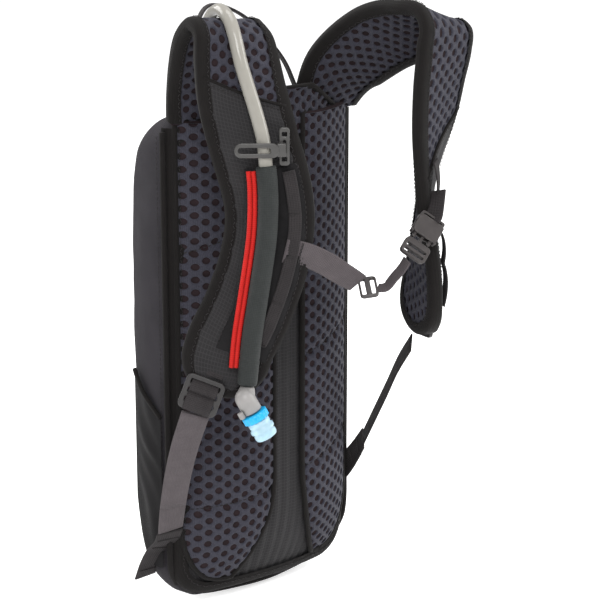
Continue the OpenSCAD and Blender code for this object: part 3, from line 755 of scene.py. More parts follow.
YOKE_LOW, YOKE_TOP = -TOP - 0.0165, -TOP + 0.016
YOKE_SEAMS = [((-0.06, -0.058), (0.0, -0.050)), ((0.0, -0.050), (0.06, -0.062))]


def yoke_half(z):
    """Half the yoke's width: as wide as the pads below, and narrowing to its top."""
    t = np.clip((z - YOKE_LOW) / (YOKE_TOP - YOKE_LOW), 0, 1)
    return (PAD_OUTER - 0.003) * (1 - t) + 0.026 * t


def build_yoke():
    def height(x, z):
        return SEAT + PAD_RIM - 0.0016 * seam_dip(x, z, YOKE_SEAMS)

    def on_yoke(s, t, drop):
        return columns(s, panel_y(s, t) - height(s, t) - drop, t)

    def limit(t):
        return -yoke_half(t), yoke_half(t)

    web("yoke_mesh", on_yoke, (-0.080, 0.080), (YOKE_LOW, YOKE_TOP), limit, LOOK["web"], "pack",
        "spacer_mesh", ["yoke_pad"])
    rings = []
    for z in np.linspace(YOKE_LOW, YOKE_TOP, 16):
        x = np.linspace(-yoke_half(z), yoke_half(z), 40)
        zs = np.full(len(x), z)
        face = columns(x, panel_y(x, z) - height(x, zs) + 0.0014, zs)
        back = face.copy()
        back[:, 1] = panel_y(x, z) - 0.0006
        rings.append(np.vstack([face, back[::-1]]))
    foam = loft("yoke_foam", rings, LOOK["foam"], "pack", "spacer_mesh")
    edge = [(yoke_half(z), z) for z in np.linspace(YOKE_LOW, YOKE_TOP, 12)]
    edge += [(-x, z) for x, z in edge[::-1]]
    line = np.array([(x, panel_y(x, z) - 0.003, z) for x, z in edge])
    tube("yoke_edge", even_line(line, 0.004), 0.0045, LOOK["binding"], "pack", "binding", sides=8)


build_yoke()


# The tape's cross-section: how far outwards each point lies, and how high above the panel.
TAPE_PROFILE = ((-0.0075, 0.0040), (-0.0045, 0.0050), (0.0, 0.0046), (0.0022, 0.0030), (0.0026, 0.0))


def build_panel_binding(k, side_name):
    """Wide binding tape over the panel's outer edge, from the strap's root down round the corner."""
    centre_x, centre_z, radius = 0.0545, -0.392, 0.0270
    side = [(centre_x + radius, z) for z in np.linspace(-0.066, -0.375, 60)]
    turn = np.radians(np.linspace(0, 90, 24))
    corner = [(centre_x + radius * math.cos(t), centre_z - radius * 1.05 * math.sin(t)) for t in turn]
    base = [(x, centre_z - radius * 1.05) for x in np.linspace(0.050, 0.0, 14)]
    line = np.array([(k * x, 0.0, z) for x, z in side + corner + base])
    line[:, 1] = panel_y(line[:, 0], line[:, 2])
    along = directions(line)
    across = unit(np.cross(along, [0, 1, 0])) * k
    rings = []
    for i in range(len(line)):
        row = []
        for shift, high in TAPE_PROFILE:
            x, z = line[i, 0] + across[i, 0] * shift, line[i, 2] + across[i, 2] * shift
            row.append((x, float(panel_y(np.clip(x, -HALF_W, HALF_W), z)) - high, z))
        rings.append(row)
    points = np.array(rings)
    uv_across = np.linspace(0, 0.012, points.shape[1])
    strip("panel_binding_tape_" + side_name, points, uv_across, distance_along(line), LOOK["binding"],
        "pack", "binding")
    stitches("panel_binding_stitch_" + side_name, points[:, 1] - (0, 0.0004, 0), (0, -1, 0),
        pitch=0.0030, zigzag=0.0005)


for k, side_name in ((-1, "right"), (1, "left")):
    build_panel_binding(k, side_name)


def build_edge_piping():
    half, top, low = HALF_W + 0.0015, -TOP - 0.010, -BOTTOM - 0.001
    right = [(half, 0.0012, z) for z in (top, -0.150, -0.250, -0.340, -0.385)]
    corner = [(half - 0.004, 0.004, low + 0.022), (half - 0.016, 0.008, low + 0.007)]
    floor_line = [(0.050, 0.007, low), (0.020, 0, low), (0, -0.002, low), (-0.020, 0, low),
        (-0.050, 0.007, low)]
    mirror = [(-x, y, z) for x, y, z in (right + corner)[::-1]]
    route = np.array(right + corner + floor_line + mirror) + (0, -0.0044, 0)
    tube("edge_piping_cord", smooth_line(route, ROUTE_STEPS), 0.0045, LOOK["binding"], "pack", "binding",
        ["edge_piping"])
    flange = smooth_line(route + (0, 0.006, 0), ROUTE_STEPS)
    stitches("edge_stitch", flange * (1.012, 1, 1), unit(flange * (1, 0, 0.2)))


build_edge_piping()


def build_pocket(k, side_name):
    inner = HALF_W + 0.0003

    def place(f, g):
        y = 0.004 + f * (GUSSET - 0.0065)
        depth = np.clip((y - 0.003) / (GUSSET - 0.003), 0, 1)
        low = -BOTTOM + 0.116 - 0.110 * np.sqrt(1 - depth**2) + 0.022 * (1 - depth)
        (y0, z0), (y1, z1) = POCKET_HEM
        high = z0 + (z1 - z0) * (y - y0) / (y1 - y0)
        z = low + (high - low) * g
        slant = (z - y * 1.6) * 150
        creases = 0.0011 * np.sin(slant + 2.2 * np.sin(z * 60)) * np.sin(slant * 0.37 + 1)
        creases *= np.sin(f * math.pi)
        x = inner + 0.0022 + 0.0030 * np.sin(f * math.pi) * (0.4 + 0.6 * g) + creases
        return columns(k * x, y, z)

    surface("side_pocket_cloth_" + side_name, place, np.linspace(0, 1, 40), np.linspace(0, 1, 90),
        LOOK["stretch"], "pack", "stretch_cloth", (0.033, 0.13), ["side_pocket_" + side_name])
    f = np.linspace(0, 1, 24)
    hem = place(f, np.ones(24))
    tube("pocket_hem_" + side_name, hem, 0.0034, LOOK["binding"], "pack", "binding", sides=8)


for k, side_name in ((-1, "right"), (1, "left")):
    build_pocket(k, side_name)

# ---- shoulder straps: rows of a point on the middle line and the way to the outer edge ----
STRAP_W, STRAP_T = 0.064, 0.007
STRAP_ROUND = 0.8  # rows over which a strap's end is rounded
COVER_SAG, COVER_LIFT = 0.55, 0.0018  # rows that the cover's seam slants by, and its height over the foam
STRAP = {
    "right": {"k": 1, "rows": [
        ((-0.054, -0.014, -0.062), (-0.83, 0.28, -0.48)),
        ((-0.056, -0.020, -0.038), (-0.85, 0.42, -0.30)),
        ((-0.060, -0.028, -0.016), (-0.90, 0.35, -0.20)),
        ((-0.064, -0.038, 0.002), (-0.97, 0.20, -0.05)),
        ((-0.066, -0.050, 0.009), (-0.99, 0.05, 0.10)),
        ((-0.067, -0.061, 0.002), (-0.98, 0.10, 0.12)),
        ((-0.068, -0.066, -0.014), (-0.96, 0.25, 0.10)),
        ((-0.068, -0.072, -0.038), (-0.89, 0.44, 0.06)),
        ((-0.063, -0.077, -0.067), (-0.82, 0.58, 0.00)),
        ((-0.055, -0.081, -0.100), (-0.74, 0.67, 0.03)),
        ((-0.053, -0.082, -0.126), (-0.72, 0.69, 0.10)),
        ((-0.059, -0.081, -0.156), (-0.70, 0.69, 0.18)),
        ((-0.071, -0.078, -0.186), (-0.75, 0.65, 0.10)),
        ((-0.083, -0.073, -0.212), (-0.79, 0.61, 0.00)),
        ((-0.088, -0.068, -0.244), (-0.77, 0.63, -0.10)),
    ]},
    "left": {"k": -1, "rows": [
        ((0.054, -0.014, -0.062), (0.83, 0.28, -0.48)),
        ((0.058, -0.032, -0.034), (0.70, 0.10, -0.70)),
        ((0.064, -0.062, -0.011), (0.64, 0.06, -0.76)),
        ((0.070, -0.092, 0.001), (0.72, 0.10, -0.65)),
        ((0.074, -0.109, 0.008), (0.90, 0.15, -0.35)),
        ((0.076, -0.118, 0.001), (0.95, 0.20, -0.22)),
        ((0.076, -0.118, -0.014), (0.95, 0.22, -0.18)),
        ((0.075, -0.115, -0.036), (0.95, 0.28, -0.12)),
        ((0.076, -0.110, -0.064), (0.92, 0.38, -0.08)),
        ((0.078, -0.102, -0.100), (0.80, 0.60, 0.00)),
        ((0.080, -0.096, -0.132), (0.66, 0.75, 0.00)),
        ((0.081, -0.096, -0.156), (0.52, 0.85, 0.00)),
        ((0.082, -0.094, -0.186), (0.38, 0.92, 0.00)),
        ((0.084, -0.087, -0.224), (0.26, 0.97, 0.00)),
    ]},
}
for strap in STRAP.values():
    strap["line"] = np.array([row[0] for row in strap["rows"]])
    strap["out"] = np.array([row[1] for row in strap["rows"]])
    strap["last"] = len(strap["rows"]) - 1
    strap["u"] = np.linspace(0, strap["last"], 500)
    strap["far"] = distance_along(at_index(strap["line"], strap["u"]))


def strap_frame(strap, u):
    centre = at_index(strap["line"], u)
    along = unit(at_index(strap["line"], u + 0.05) - at_index(strap["line"], u - 0.05))
    side = side_of(at_index(strap["out"], u), along)
    return centre, along, side, strap["k"] * np.cross(side, along)


def strap_place(strap, u, a, h):
    """u runs in rows from the root to the end, a across towards the outer edge, h out of the face."""
    u = np.asarray(u, float)
    centre, _, side, face = strap_frame(strap, u)
    a, h = np.broadcast_to(a, u.shape), np.broadcast_to(h, u.shape)
    return centre + side * a[:, None] + face * h[:, None]


def strap_u(strap, distance):
    return np.interp(distance, strap["far"], strap["u"])


def strap_half(strap, u, full):
    left = np.clip((strap["last"] - np.asarray(u, float)) / STRAP_ROUND, 0, 1)
    return full * np.sqrt(np.maximum(1 - (1 - left) ** 2, 0.02))


def strap_crown(a):
    """Half thickness of the padding: full in the middle and thin under the binding."""
    f = np.clip(np.abs(a) / (STRAP_W / 2 - 0.003), 0, 1)
    return STRAP_T / 2 * (1 - 0.55 * f**6) + 0.0004


def strap_web(side_name, number, u_range, face_sign):
    strap = STRAP[side_name]
    t_range = tuple(np.interp(u_range, strap["u"], strap["far"]))

    def on_face(s, t, drop):
        u = strap_u(strap, t)
        return strap_place(strap, u, s, face_sign * (strap_crown(s) + 0.0008 + drop))

    def limit(t):
        half = strap_half(strap, strap_u(strap, t), STRAP_W / 2 - 0.004)
        return -half, half

    return web(f"strap_mesh_{side_name}_{number}", on_face, (-0.030, 0.030), t_range, limit,
        LOOK["web"], "pack", "spacer_mesh")


def build_strap(side_name, cover_from):
    strap = STRAP[side_name]
    last = strap["last"]
    rings = []
    cross = np.linspace(-1, 1, 17)
    for u in np.linspace(0, last - 0.05, 130):
        half = float(strap_half(strap, u, STRAP_W / 2 - 0.0035))
        a = cross * half
        us = np.full(len(cross), u)
        top = strap_place(strap, us, a, strap_crown(a) - 0.0006)
        low = strap_place(strap, us, a, -strap_crown(a) + 0.0006)
        rings.append(np.vstack([top, low[::-1]]))
    foam = loft("strap_foam_" + side_name, rings, LOOK["foam"], "pack", "spacer_mesh",
        ["shoulder_strap_" + side_name])
    strap_web(side_name, "face", (0.05, cover_from + 0.5), 1)
    strap_web(side_name, "back", (0.05, last - 0.1), -1)
    build_strap_cover(side_name, cover_from)
    build_binding(side_name)


def build_strap_cover(side_name, cover_from):
    """The ripstop lower half of a strap's face, with its seam."""
    strap = STRAP[side_name]
    end = strap["last"] - 0.12

    def place(f, v):
        u = cover_from - COVER_SAG * f + v * (end - cover_from + COVER_SAG * f)
        a = f * strap_half(strap, u, STRAP_W / 2 - 0.004)
        ripple = 0.0005 * np.sin(u * 9 + f * 7) * (1 - f * f)
        return strap_place(strap, u, a, strap_crown(a) + COVER_LIFT + ripple)

    length = np.interp(end, strap["u"], strap["far"]) - np.interp(cover_from, strap["u"], strap["far"])
    surface("strap_cover_cloth_" + side_name, place, np.linspace(-1, 1, 34), np.linspace(0, 1, 90),
        LOOK["ripstop"], "pack", "ripstop", (STRAP_W / 2, length),
        ["strap_cover_" + side_name])
    across = np.linspace(-0.027, 0.027, 20)
    us = cover_from - COVER_SAG * across / (STRAP_W / 2 - 0.004)
    seam = strap_place(strap, us, across, strap_crown(across) + COVER_LIFT)
    tube("strap_seam_" + side_name, seam, 0.0022, LOOK["binding"], "pack", "binding", sides=8)
    _, _, _, face = strap_frame(strap, us)
    lower = strap_place(strap, us + 0.12, across, strap_crown(across) + 0.0021)
    stitches("strap_seam_stitch_" + side_name, lower, face)


def binding_stations(strap):
    """(u, a share) round the strap: down the outer edge, round the end and up the inner edge."""
    last = strap["last"]
    tip = last - STRAP_ROUND
    down = [(u, 1.0) for u in np.arange(0.08, tip, 0.1)]
    turn = [(tip + 0.84 * math.cos(t), math.sin(t)) for t in np.radians(np.arange(90, -91, -6))]
    return down + turn + [(u, -1.0) for u, _ in down[::-1]]


def build_binding(side_name):
    strap = STRAP[side_name]
    half, wide = STRAP_W / 2 - 0.0012, 0.0085
    tip = strap["last"] - STRAP_ROUND
    stations = binding_stations(strap)
    profile = [(wide, 0.0), (wide * 0.6, 0.0004), (0.0022, 0.0004), (0.0, -0.0012)]
    rings, lines = [], {1: [], -1: []}
    for u, share in stations:
        def at(inward, high, sign):
            scale = 1 - inward / half
            centre_u = tip + (u - tip) * scale if u > tip else u
            a = half * share * scale
            out = strap_crown(a) + 0.0019 + high
            return strap_place(strap, [centre_u], [a], [sign * out])[0]

        rings.append([at(i, h, 1) for i, h in profile] + [at(i, h, -1) for i, h in profile[::-1]])
        for sign in (1, -1):
            lines[sign].append(at(wide - 0.0016, 0.0005, sign))
    points = np.array(rings)
    uv_across = np.linspace(0, 0.024, points.shape[1])
    strip("strap_binding_tape_" + side_name, points, uv_across, distance_along(points.mean(axis=1)),
        LOOK["binding"], "pack", "binding", ["strap_binding_" + side_name])
    us = np.array([min(u, strap["last"]) for u, _ in stations])
    face = strap_frame(strap, us)[3]
    for sign, word in ((1, "face"), (-1, "back")):
        stitches(f"binding_stitch_{word}_{side_name}", lines[sign], face * sign,
            pitch=0.0030, zigzag=0.0006)


build_strap("right", 6.9)
build_strap("left", 8.4)


# ---- hose ----
HOSE_D, SLEEVE_D = 0.0095, 0.014
HOSE_ROUTE = [
    (-0.050, 0.008, -0.068), (-0.051, 0.006, -0.056), (-0.053, -0.002, -0.040), (-0.057, -0.013, -0.020),
    (-0.061, -0.022, -0.002), (-0.065, -0.034, 0.013), (-0.068, -0.048, 0.019), (-0.071, -0.062, 0.014),
    (-0.073, -0.071, 0.002), (-0.073, -0.077, -0.014), (-0.070, -0.082, -0.032), (-0.067, -0.086, -0.048),
    (-0.065, -0.090, -0.064), (-0.065, -0.092, -0.076), (-0.065, -0.095, -0.098), (-0.066, -0.096, -0.118),
    (-0.068, -0.096, -0.137), (-0.074, -0.095, -0.172), (-0.078, -0.093, -0.200), (-0.081, -0.091, -0.233),
]
SLEEVE_FROM, SLEEVE_TOP_Z = 14, -0.0805


POUCH_FROM, POUCH_TO = 8.6, 13.0  # rows of the right strap


def build_pouch():
    """The stretch sleeve on the right strap that the hose lies on."""
    strap = STRAP["right"]

    def place(f, u):
        g = (u - POUCH_FROM) / (POUCH_TO - POUCH_FROM)
        a = -0.007 + f * 0.018 - 0.002 * g
        crease = 0.0008 * np.sin(u * 11 + f * 4) * np.sin(g * math.pi) * np.sin(u * 3.1 - f * 2)
        high = 0.0023 + 0.0030 * (1 - f**4) * np.sin(np.clip(g, 0, 1) * math.pi) ** 0.4 + crease
        return strap_place(strap, u, a, strap_crown(a) + high)

    surface("hose_pouch", place, np.linspace(-1, 1, 30), np.linspace(POUCH_FROM, POUCH_TO, 90),
        LOOK["stretch"], "pack", "stretch_cloth", (0.019, 0.03))
    for word, f in (("outer", 1.0), ("inner", -1.0)):
        us = np.linspace(POUCH_FROM, POUCH_TO, 60)
        face = strap_frame(strap, us)[3]
        stitches("pouch_stitch_" + word, place(np.full(len(us), f), us) + face * 0.0004, face)


build_pouch()


def build_dock_cords():
    """Two red cords beside the sleeve, on a stretch flange sewn to the strap."""
    out, face = np.array((-0.755, 0.655, 0)), np.array((-0.655, -0.755, 0))
    route = [(-0.065, -0.0935, -0.086)] + HOSE_ROUTE[SLEEVE_FROM:19] + [(-0.080, -0.092, -0.222)]
    line = even_line(smooth_line(route, ROUTE_STEPS), 0.0012)
    base = line - face * 0.003
    for number, shift in enumerate((0.0090, 0.0124)):
        tube(f"dock_cord_{number + 1}", base + out * shift, 0.0034, LOOK["red"], "pack", "red_piping",
            ["hose_dock_piping"] if number == 0 else (), sides=10)
    rows = []
    for place in base:
        foot = place + out * 0.0165 - face * 0.0075
        rows.append([place + out * 0.0100 - face * 0.0016, place + out * 0.0140 - face * 0.0022, foot])
    strip("dock_flange", rows, [0, 0.005, 0.012], distance_along(base), LOOK["stretch"], "pack",
        "stretch_cloth")
    seam = base + out * 0.0150 - face * 0.0030
    stitches("dock_stitch", seam, unit(face + out))


build_dock_cords()


def build_daisy(side_name, u0, u1, loops):
    """Narrow webbing sewn down at bar tacks, standing up a little between them."""
    strap = STRAP[side_name]
    us = np.linspace(u0, u1, 70)
    g = (us - u0) / (u1 - u0) * loops
    lift = 0.0046 + 0.0022 * np.abs(np.sin(g * math.pi)) ** 0.7
    a = np.full(70, -0.018)
    line = strap_place(strap, us, a, strap_crown(a) + lift)
    side = strap_frame(strap, us)[2]
    ribbon("daisy_webbing_" + side_name, line, side, 0.009, 0.0015, LOOK["webbing_dark"], "pack", "webbing",
        ["daisy_chain_" + side_name], per=1, ribs=5)
    tacks = []
    for number in range(loops + 1):
        u = u0 + (u1 - u0) * number / loops
        a_tack = np.linspace(-0.0215, -0.0145, 9)
        us_tack = u + 0.02 * (np.arange(9) % 2)
        place = strap_place(strap, us_tack, a_tack, strap_crown(a_tack) + 0.0056)
        tacks.append(tube(f"tack_{side_name}_{number}", place, 0.0011, LOOK["thread"], "pack", "webbing",
            sides=6))
    join("daisy_tacks_" + side_name, tacks)


build_daisy("right", 8.7, 12.5, 4)
build_daisy("left", 8.6, 12.3, 4)

# ---- haul loop and webbings ----
HAUL_LOOP = [
    (-0.030, -0.006, -0.054), (-0.043, -0.003, -0.040), (-0.050, 0.000, -0.020), (-0.050, 0.002, 0.000),
    (-0.044, 0.003, 0.012), (-0.034, 0.003, 0.016), (-0.020, 0.002, 0.012), (-0.005, 0.000, 0.003),
    (0.009, -0.005, -0.012), (0.019, -0.011, -0.028), (0.025, -0.016, -0.046),
]
STERNUM_RIGHT = [
    (-0.053, -0.098, -0.1415), (-0.040, -0.104, -0.145), (-0.025, -0.109, -0.153),
    (-0.012, -0.112, -0.162), (0.000, -0.114, -0.170),
]
STERNUM_RIGHT_WIDE = [(0.2, -0.2, 1), (0.3, -0.2, 1), (0.45, -0.2, 1), (0.5, -0.5, 1), (0.5, -0.8, 0.8)]
STERNUM_LEFT = [
    (0.016, -0.117, -0.176), (0.020, -0.122, -0.174), (0.024, -0.125, -0.168),
    (0.028, -0.129, -0.161), (0.031, -0.131, -0.155),
]
LOWER_WEB_RIGHT = [
    (-0.104, -0.062, -0.257), (-0.104, -0.050, -0.282), (-0.102, -0.038, -0.308),
    (-0.097, -0.024, -0.338), (-0.091, -0.012, -0.362),
]
LOWER_WEB_LEFT = [
    (0.088, -0.076, -0.238), (0.088, -0.062, -0.258), (0.088, -0.050, -0.280),
    (0.088, -0.037, -0.303), (0.088, -0.024, -0.326),
]
TAB_RIGHT = [
    (-0.091, -0.0114, -0.3636), (-0.0895, -0.004, -0.374), (-0.090, 0.006, -0.384),
    (-0.091, 0.014, -0.396), (-0.092, 0.020, -0.408),
]
TAB_LEFT = [
    (0.088, -0.023, -0.3276), (0.0885, -0.014, -0.340), (0.089, -0.004, -0.352),
    (0.0895, 0.006, -0.362), (0.090, 0.014, -0.372),
]
WEB_W, WEB_T = 0.020, 0.0016

ribbon("haul_webbing", HAUL_LOOP, [(0.45, 0.90, -0.10)] * len(HAUL_LOOP), 0.012, 0.0017,
    LOOK["webbing_dark"], "pack", "webbing_dark", ["haul_loop"], ribs=6)


def build_lower_webbings():
    right_wide = [(-0.77, 0.62, 0), (-0.84, 0.50, 0.04), (-0.90, 0.36, 0.08), (-0.93, 0.20, 0.12),
        (-0.95, 0.06, 0.15)]
    right_band = ribbon("lower_webbing_band_right", LOWER_WEB_RIGHT, right_wide, WEB_W, WEB_T,
        LOOK["webbing"], "", "webbing", ["lower_webbing_right"], ribs=11)
    tail = np.array(LOWER_WEB_RIGHT)[:4] + (-0.0016, -0.0019, 0)
    right_tail = ribbon("lower_webbing_tail_right", tail, right_wide[:4], WEB_W * 0.98, 0.0014,
        LOOK["webbing"], "", "webbing", ribs=11, wave=0.0004)
    left_wide = [(0.6, 0.55, 0.45)] * 5
    left_band = ribbon("lower_webbing_band_left", LOWER_WEB_LEFT, left_wide, WEB_W, WEB_T,
        LOOK["webbing_dark"], "", "webbing_dark", ["lower_webbing_left"], ribs=11)
    for band, body, route in (
        (right_band, "lock_right", LOWER_WEB_RIGHT),
        (right_tail, "lock_right", LOWER_WEB_RIGHT),
        (left_band, "lock_left", LOWER_WEB_LEFT),
    ):
        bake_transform(band)
    for side_name, route, wide in (
        ("right", TAB_RIGHT, [(-0.95, 0.06, 0.15)] * 2 + [(-0.93, 0, 0.2), (-0.90, -0.1, 0.2),
            (-0.90, -0.2, 0.2)]),
        ("left", TAB_LEFT, [(0.5 - 0.1 * i, 0.6, 0.5) for i in range(5)]),
    ):
        ribbon("anchor_band_" + side_name, route, wide, WEB_W + 0.001, 0.0022, LOOK["webbing_dark"], "pack",
            "webbing_dark", ["anchor_tab_" + side_name], ribs=11)
        bar_tacks("anchor_tacks_" + side_name, route, wide, (5, 12, 27), 0.0088, 15, 0.0013, "webbing_dark")


build_lower_webbings()


# ---- strap adjusters ----
LOCK = {
    "right": ((-0.102, -0.067, -0.242), (0.72, -0.58, -0.36), (-0.64, -0.77, 0.07)),
    "left": ((0.0945, -0.0805, -0.219), (0.24, 0.97, -0.06), (0.97, -0.24, 0.00)),
}
LOCK_W, LOCK_H = 0.028, 0.0258


def build_lock(side_name, body):
    at = frame_at(*LOCK[side_name])
    slots = [(0, y, WEB_W + 0.0012, 0.0036, 0.001) for y in (0.0076, 0.0012, -0.0058)]
    plate("ladder_lock_frame_" + side_name, (LOCK_W, LOCK_H), 0.004, 0.0030, slots, at,
        LOOK["dark_plastic"], body, ["ladder_lock_" + side_name], bevel=0.0007,
        lift=(0, -0.0006, 0))
    origin, axes = at

    def put(points):
        return origin + np.array(points) @ axes.T

    wide = [tuple(axes[:, 0])] * 4
    stub = put([(0, 0.0268, -0.0022), (0, 0.0200, -0.0016), (0, 0.0150, -0.0014), (0, 0.0140, -0.0014)])
    ribbon("adjuster_band_" + side_name, stub, wide, WEB_W, WEB_T, LOOK["webbing_dark"], "pack",
        "webbing_dark", ["adjuster_stub_" + side_name], ribs=11)
    loops = put([(0, 0.0095, -0.0016), (0, 0.0062, 0.0022), (0, 0.0020, 0.0024), (0, -0.0010, -0.0004)])
    ribbon("lock_band_upper_" + side_name, loops, wide, WEB_W - 0.0004, 0.0014, LOOK["webbing_dark"], body,
        "webbing_dark", ribs=11)
    lower = put([(0, 0.0000, -0.0006), (0, -0.0030, 0.0022), (0, -0.0090, 0.0024), (0, -0.0135, 0.0014)])
    ribbon("lock_band_lower_" + side_name, lower, wide, WEB_W - 0.0004, 0.0014, LOOK["webbing_dark"], body,
        "webbing_dark", ribs=11)


build_lock("right", "lock_right")
build_lock("left", "lock_left")


# ---- sternum strap ----
SLIDER = ((0.008, -0.116, -0.174), (0.5, 0.75, 0.4), (-0.35, -0.25, 0.9))
BUCKLE_AT = (0.046, -0.129, -0.143)
BUCKLE_AXIS = np.array((0.72, 0.12, 0.68))
BUCKLE_FACE = np.array((-0.30, -0.84, 0.46))
BUCKLE_BAND = [
    (0.0580, -0.1275, -0.1320), (0.0605, -0.1270, -0.1290), (0.0650, -0.1240, -0.1210),
    (0.0705, -0.1195, -0.1130),
]


def build_sternum():
    band = ribbon("sternum_band_right", STERNUM_RIGHT, STERNUM_RIGHT_WIDE, 0.017, WEB_T, LOOK["webbing"],
        "", "webbing", ["sternum_webbing_right"], ribs=9)
    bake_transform(band)
    ribbon("sternum_band_left", STERNUM_LEFT, [(0.45, 0.88, 0)] * 5, 0.017, WEB_T, LOOK["webbing"],
        "sternum_tail", "webbing", ["sternum_webbing_left"], ribs=9)
    slots = [(0, y, 0.0174, 0.003, 0.001) for y in (-0.0034, 0.0034)]
    plate("sternum_slider_frame", (0.021, 0.013), 0.003, 0.003, slots, frame_at(*SLIDER),
        LOOK["brown_plastic"], "sternum_tail", ["sternum_slider"], bevel=0.0006)
    bar_tacks("sternum_tacks", STERNUM_RIGHT, STERNUM_RIGHT_WIDE, (2, 6), 0.0075, 13, 0.0010, "webbing")


build_sternum()


def build_buckle():
    at = frame_at(BUCKLE_AT, np.cross(BUCKLE_AXIS, BUCKLE_FACE), BUCKLE_FACE)
    look, slot = LOOK["brown_plastic"], "brown_plastic"
    for word, lift in (("outer", 0.0030), ("inner", -0.0030)):
        plate("buckle_shell_" + word, (0.020, 0.015), 0.004, 0.0014, [], at, look, "pack",
            ["buckle_housing"] if word == "outer" else (), lift=(0, 0.009, lift))
    for word, x in (("upper", 1), ("lower", -1)):
        for part, y, long in (("front", 0.0024, 0.0022), ("rear", 0.0134, 0.0050)):
            plate(f"buckle_wall_{word}_{part}", (0.0020, long), 0.0008, 0.0058, [], at, look, "pack",
                lift=(x * 0.0092, y, 0))
    plate("buckle_web_bar", (0.019, 0.0052), 0.0016, 0.0040, [(0, 0, 0.0150, 0.0016, 0.0006)], at, look,
        "pack", lift=(0, 0.0172, 0))
    plate("buckle_tongue_frame", (0.020, 0.013), 0.0030, 0.0042,
        [(0, y, 0.0160, 0.0022, 0.0008) for y in (-0.0034, 0.0010)], at, look, "sternum_tail",
        ["buckle_tongue"], lift=(0, -0.0095, 0))
    plate("buckle_guide", (0.0024, 0.0160), 0.0010, 0.0030, [], at, look, "sternum_tail",
        lift=(0, 0.0040, 0))
    for word, k in (("upper", 1), ("lower", -1)):
        plate("buckle_prong_arm_" + word, (0.0022, 0.0112), 0.0010, 0.0034, [], at, look, "prong_" + word,
            ["buckle_prong_" + word], lift=(k * 0.0061, 0.0036, 0))
        plate("buckle_prong_hook_" + word, (0.0018, 0.0024), 0.0007, 0.0034, [], at, look, "prong_" + word,
            lift=(k * 0.0070, 0.0080, 0))
    ribbon("buckle_band", BUCKLE_BAND, [(-0.3, 0.6, -0.2)] * 4, 0.013, 0.0022, LOOK["webbing_dark"],
        "pack", "webbing_dark", ["buckle_loop"], ribs=7)


build_buckle()

VALVE_AT = np.array((-0.086, -0.095, -0.2415))
VALVE_DIR = unit((0.36, -0.32, -0.876))
# Turned forms: (height along the valve, radius).
ELBOW_PROFILE = [
    (-0.0070, 0.0004), (-0.0066, 0.0028), (-0.0050, 0.0052), (-0.0025, 0.0066),
    (0.0, 0.0070), (0.0100, 0.0070), (0.0106, 0.0066), (0.0108, 0.0040),
]
COLLAR_PROFILE = [
    (0.0116, 0.0074), (0.0118, 0.0090), (0.0124, 0.0095), (0.0166, 0.0095), (0.0172, 0.0090),
    (0.0174, 0.0074),
]
CAP_PROFILE = [
    (0.0176, 0.0070), (0.0178, 0.0078), (0.0206, 0.0079), (0.0222, 0.0072), (0.0232, 0.0086),
    (0.0246, 0.0088), (0.0254, 0.0086), (0.0262, 0.0072), (0.0276, 0.0080), (0.0298, 0.0081),
    (0.0312, 0.0074), (0.0318, 0.0056), (0.0310, 0.0034), (0.0306, 0.0008),
]
NECK_ROUTE = [(-0.081, -0.091, -0.2340), (-0.0812, -0.0912, -0.2365), (-0.0835, -0.093, -0.2395), VALVE_AT]
NECK_SIZES = [0.0090, 0.0108, 0.0126, 0.0130]
LEVER_TURN, LEVER_ALONG, LEVER_OUT = math.radians(140), 0.0082, 0.0092


def build_valve():
    elbow = lathe("valve_elbow_body", ELBOW_PROFILE, VALVE_AT, VALVE_DIR, LOOK["grey_valve"], "valve",
        "valve_grey", ["valve_elbow"])
    neck = tube("valve_neck", NECK_ROUTE, NECK_SIZES, LOOK["grey_valve"], "valve", "valve_grey", sides=24)
    axes = frame_at(VALVE_AT, (0, 0, 1), VALVE_DIR)[1]
    out = axes[:, 0] * math.cos(LEVER_TURN) + axes[:, 1] * math.sin(LEVER_TURN)
    lever_axes = columns(out, np.cross(VALVE_DIR, out), VALVE_DIR)
    lever_at = (VALVE_AT + VALVE_DIR * LEVER_ALONG + out * LEVER_OUT, lever_axes)
    lever = plate("valve_lever", (0.0032, 0.0042), 0.0010, 0.0050, [], lever_at, LOOK["grey_valve"],
        "shutoff", ["valve_shutoff"])
    collar = lathe("valve_collar_ring", COLLAR_PROFILE, VALVE_AT, VALVE_DIR, LOOK["blue_valve"],
        "mouthpiece", "valve_blue", ["valve_collar"], sides=96, flutes=16, depth=0.0006)
    cap = lathe("bite_cap_soft", CAP_PROFILE, VALVE_AT, VALVE_DIR, LOOK["cap"], "mouthpiece",
        "cap_silicone", ["bite_cap"], sides=48)
    return [elbow, neck, lever, collar, cap]


def build_hose():
    line = smooth_line(HOSE_ROUTE, 6)
    hose = tube("drinking_hose", line, HOSE_D, LOOK["hose"], "", "hose_plastic",
        ["upper_hose", "lower_hose"], sides=20)
    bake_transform(hose)
    build_valve()
    sleeve_line = even_line(smooth_line(HOSE_ROUTE[SLEEVE_FROM - 1:], 6), 0.0015)
    sleeve_line = sleeve_line[sleeve_line[:, 2] < SLEEVE_TOP_Z]
    far = distance_along(sleeve_line)
    size = np.full(len(far), SLEEVE_D)
    # A rounded top, a rounded foot, and a hem with a groove beside it: place, width and growth of each.
    for place, width, growth in (
        (0.0, 0.001, -0.0012), (far[-1], 0.001, -0.0010),
        (far[-1] - 0.016, 0.001, 0.0004), (far[-1] - 0.0185, 0.0009, -0.0008),
    ):
        size += growth * np.exp(-(((far - place) / width) ** 2))
    tube("hose_cover", sleeve_line, size, LOOK["sleeve"], "hose_drop", "hose_cover", ["hose_sleeve"],
        sides=28)


build_hose()

# ---- hose clip ----
CLIP = ((-0.064, -0.091, -0.069), (-0.77, 0.64, 0), (-0.64, -0.77, 0))


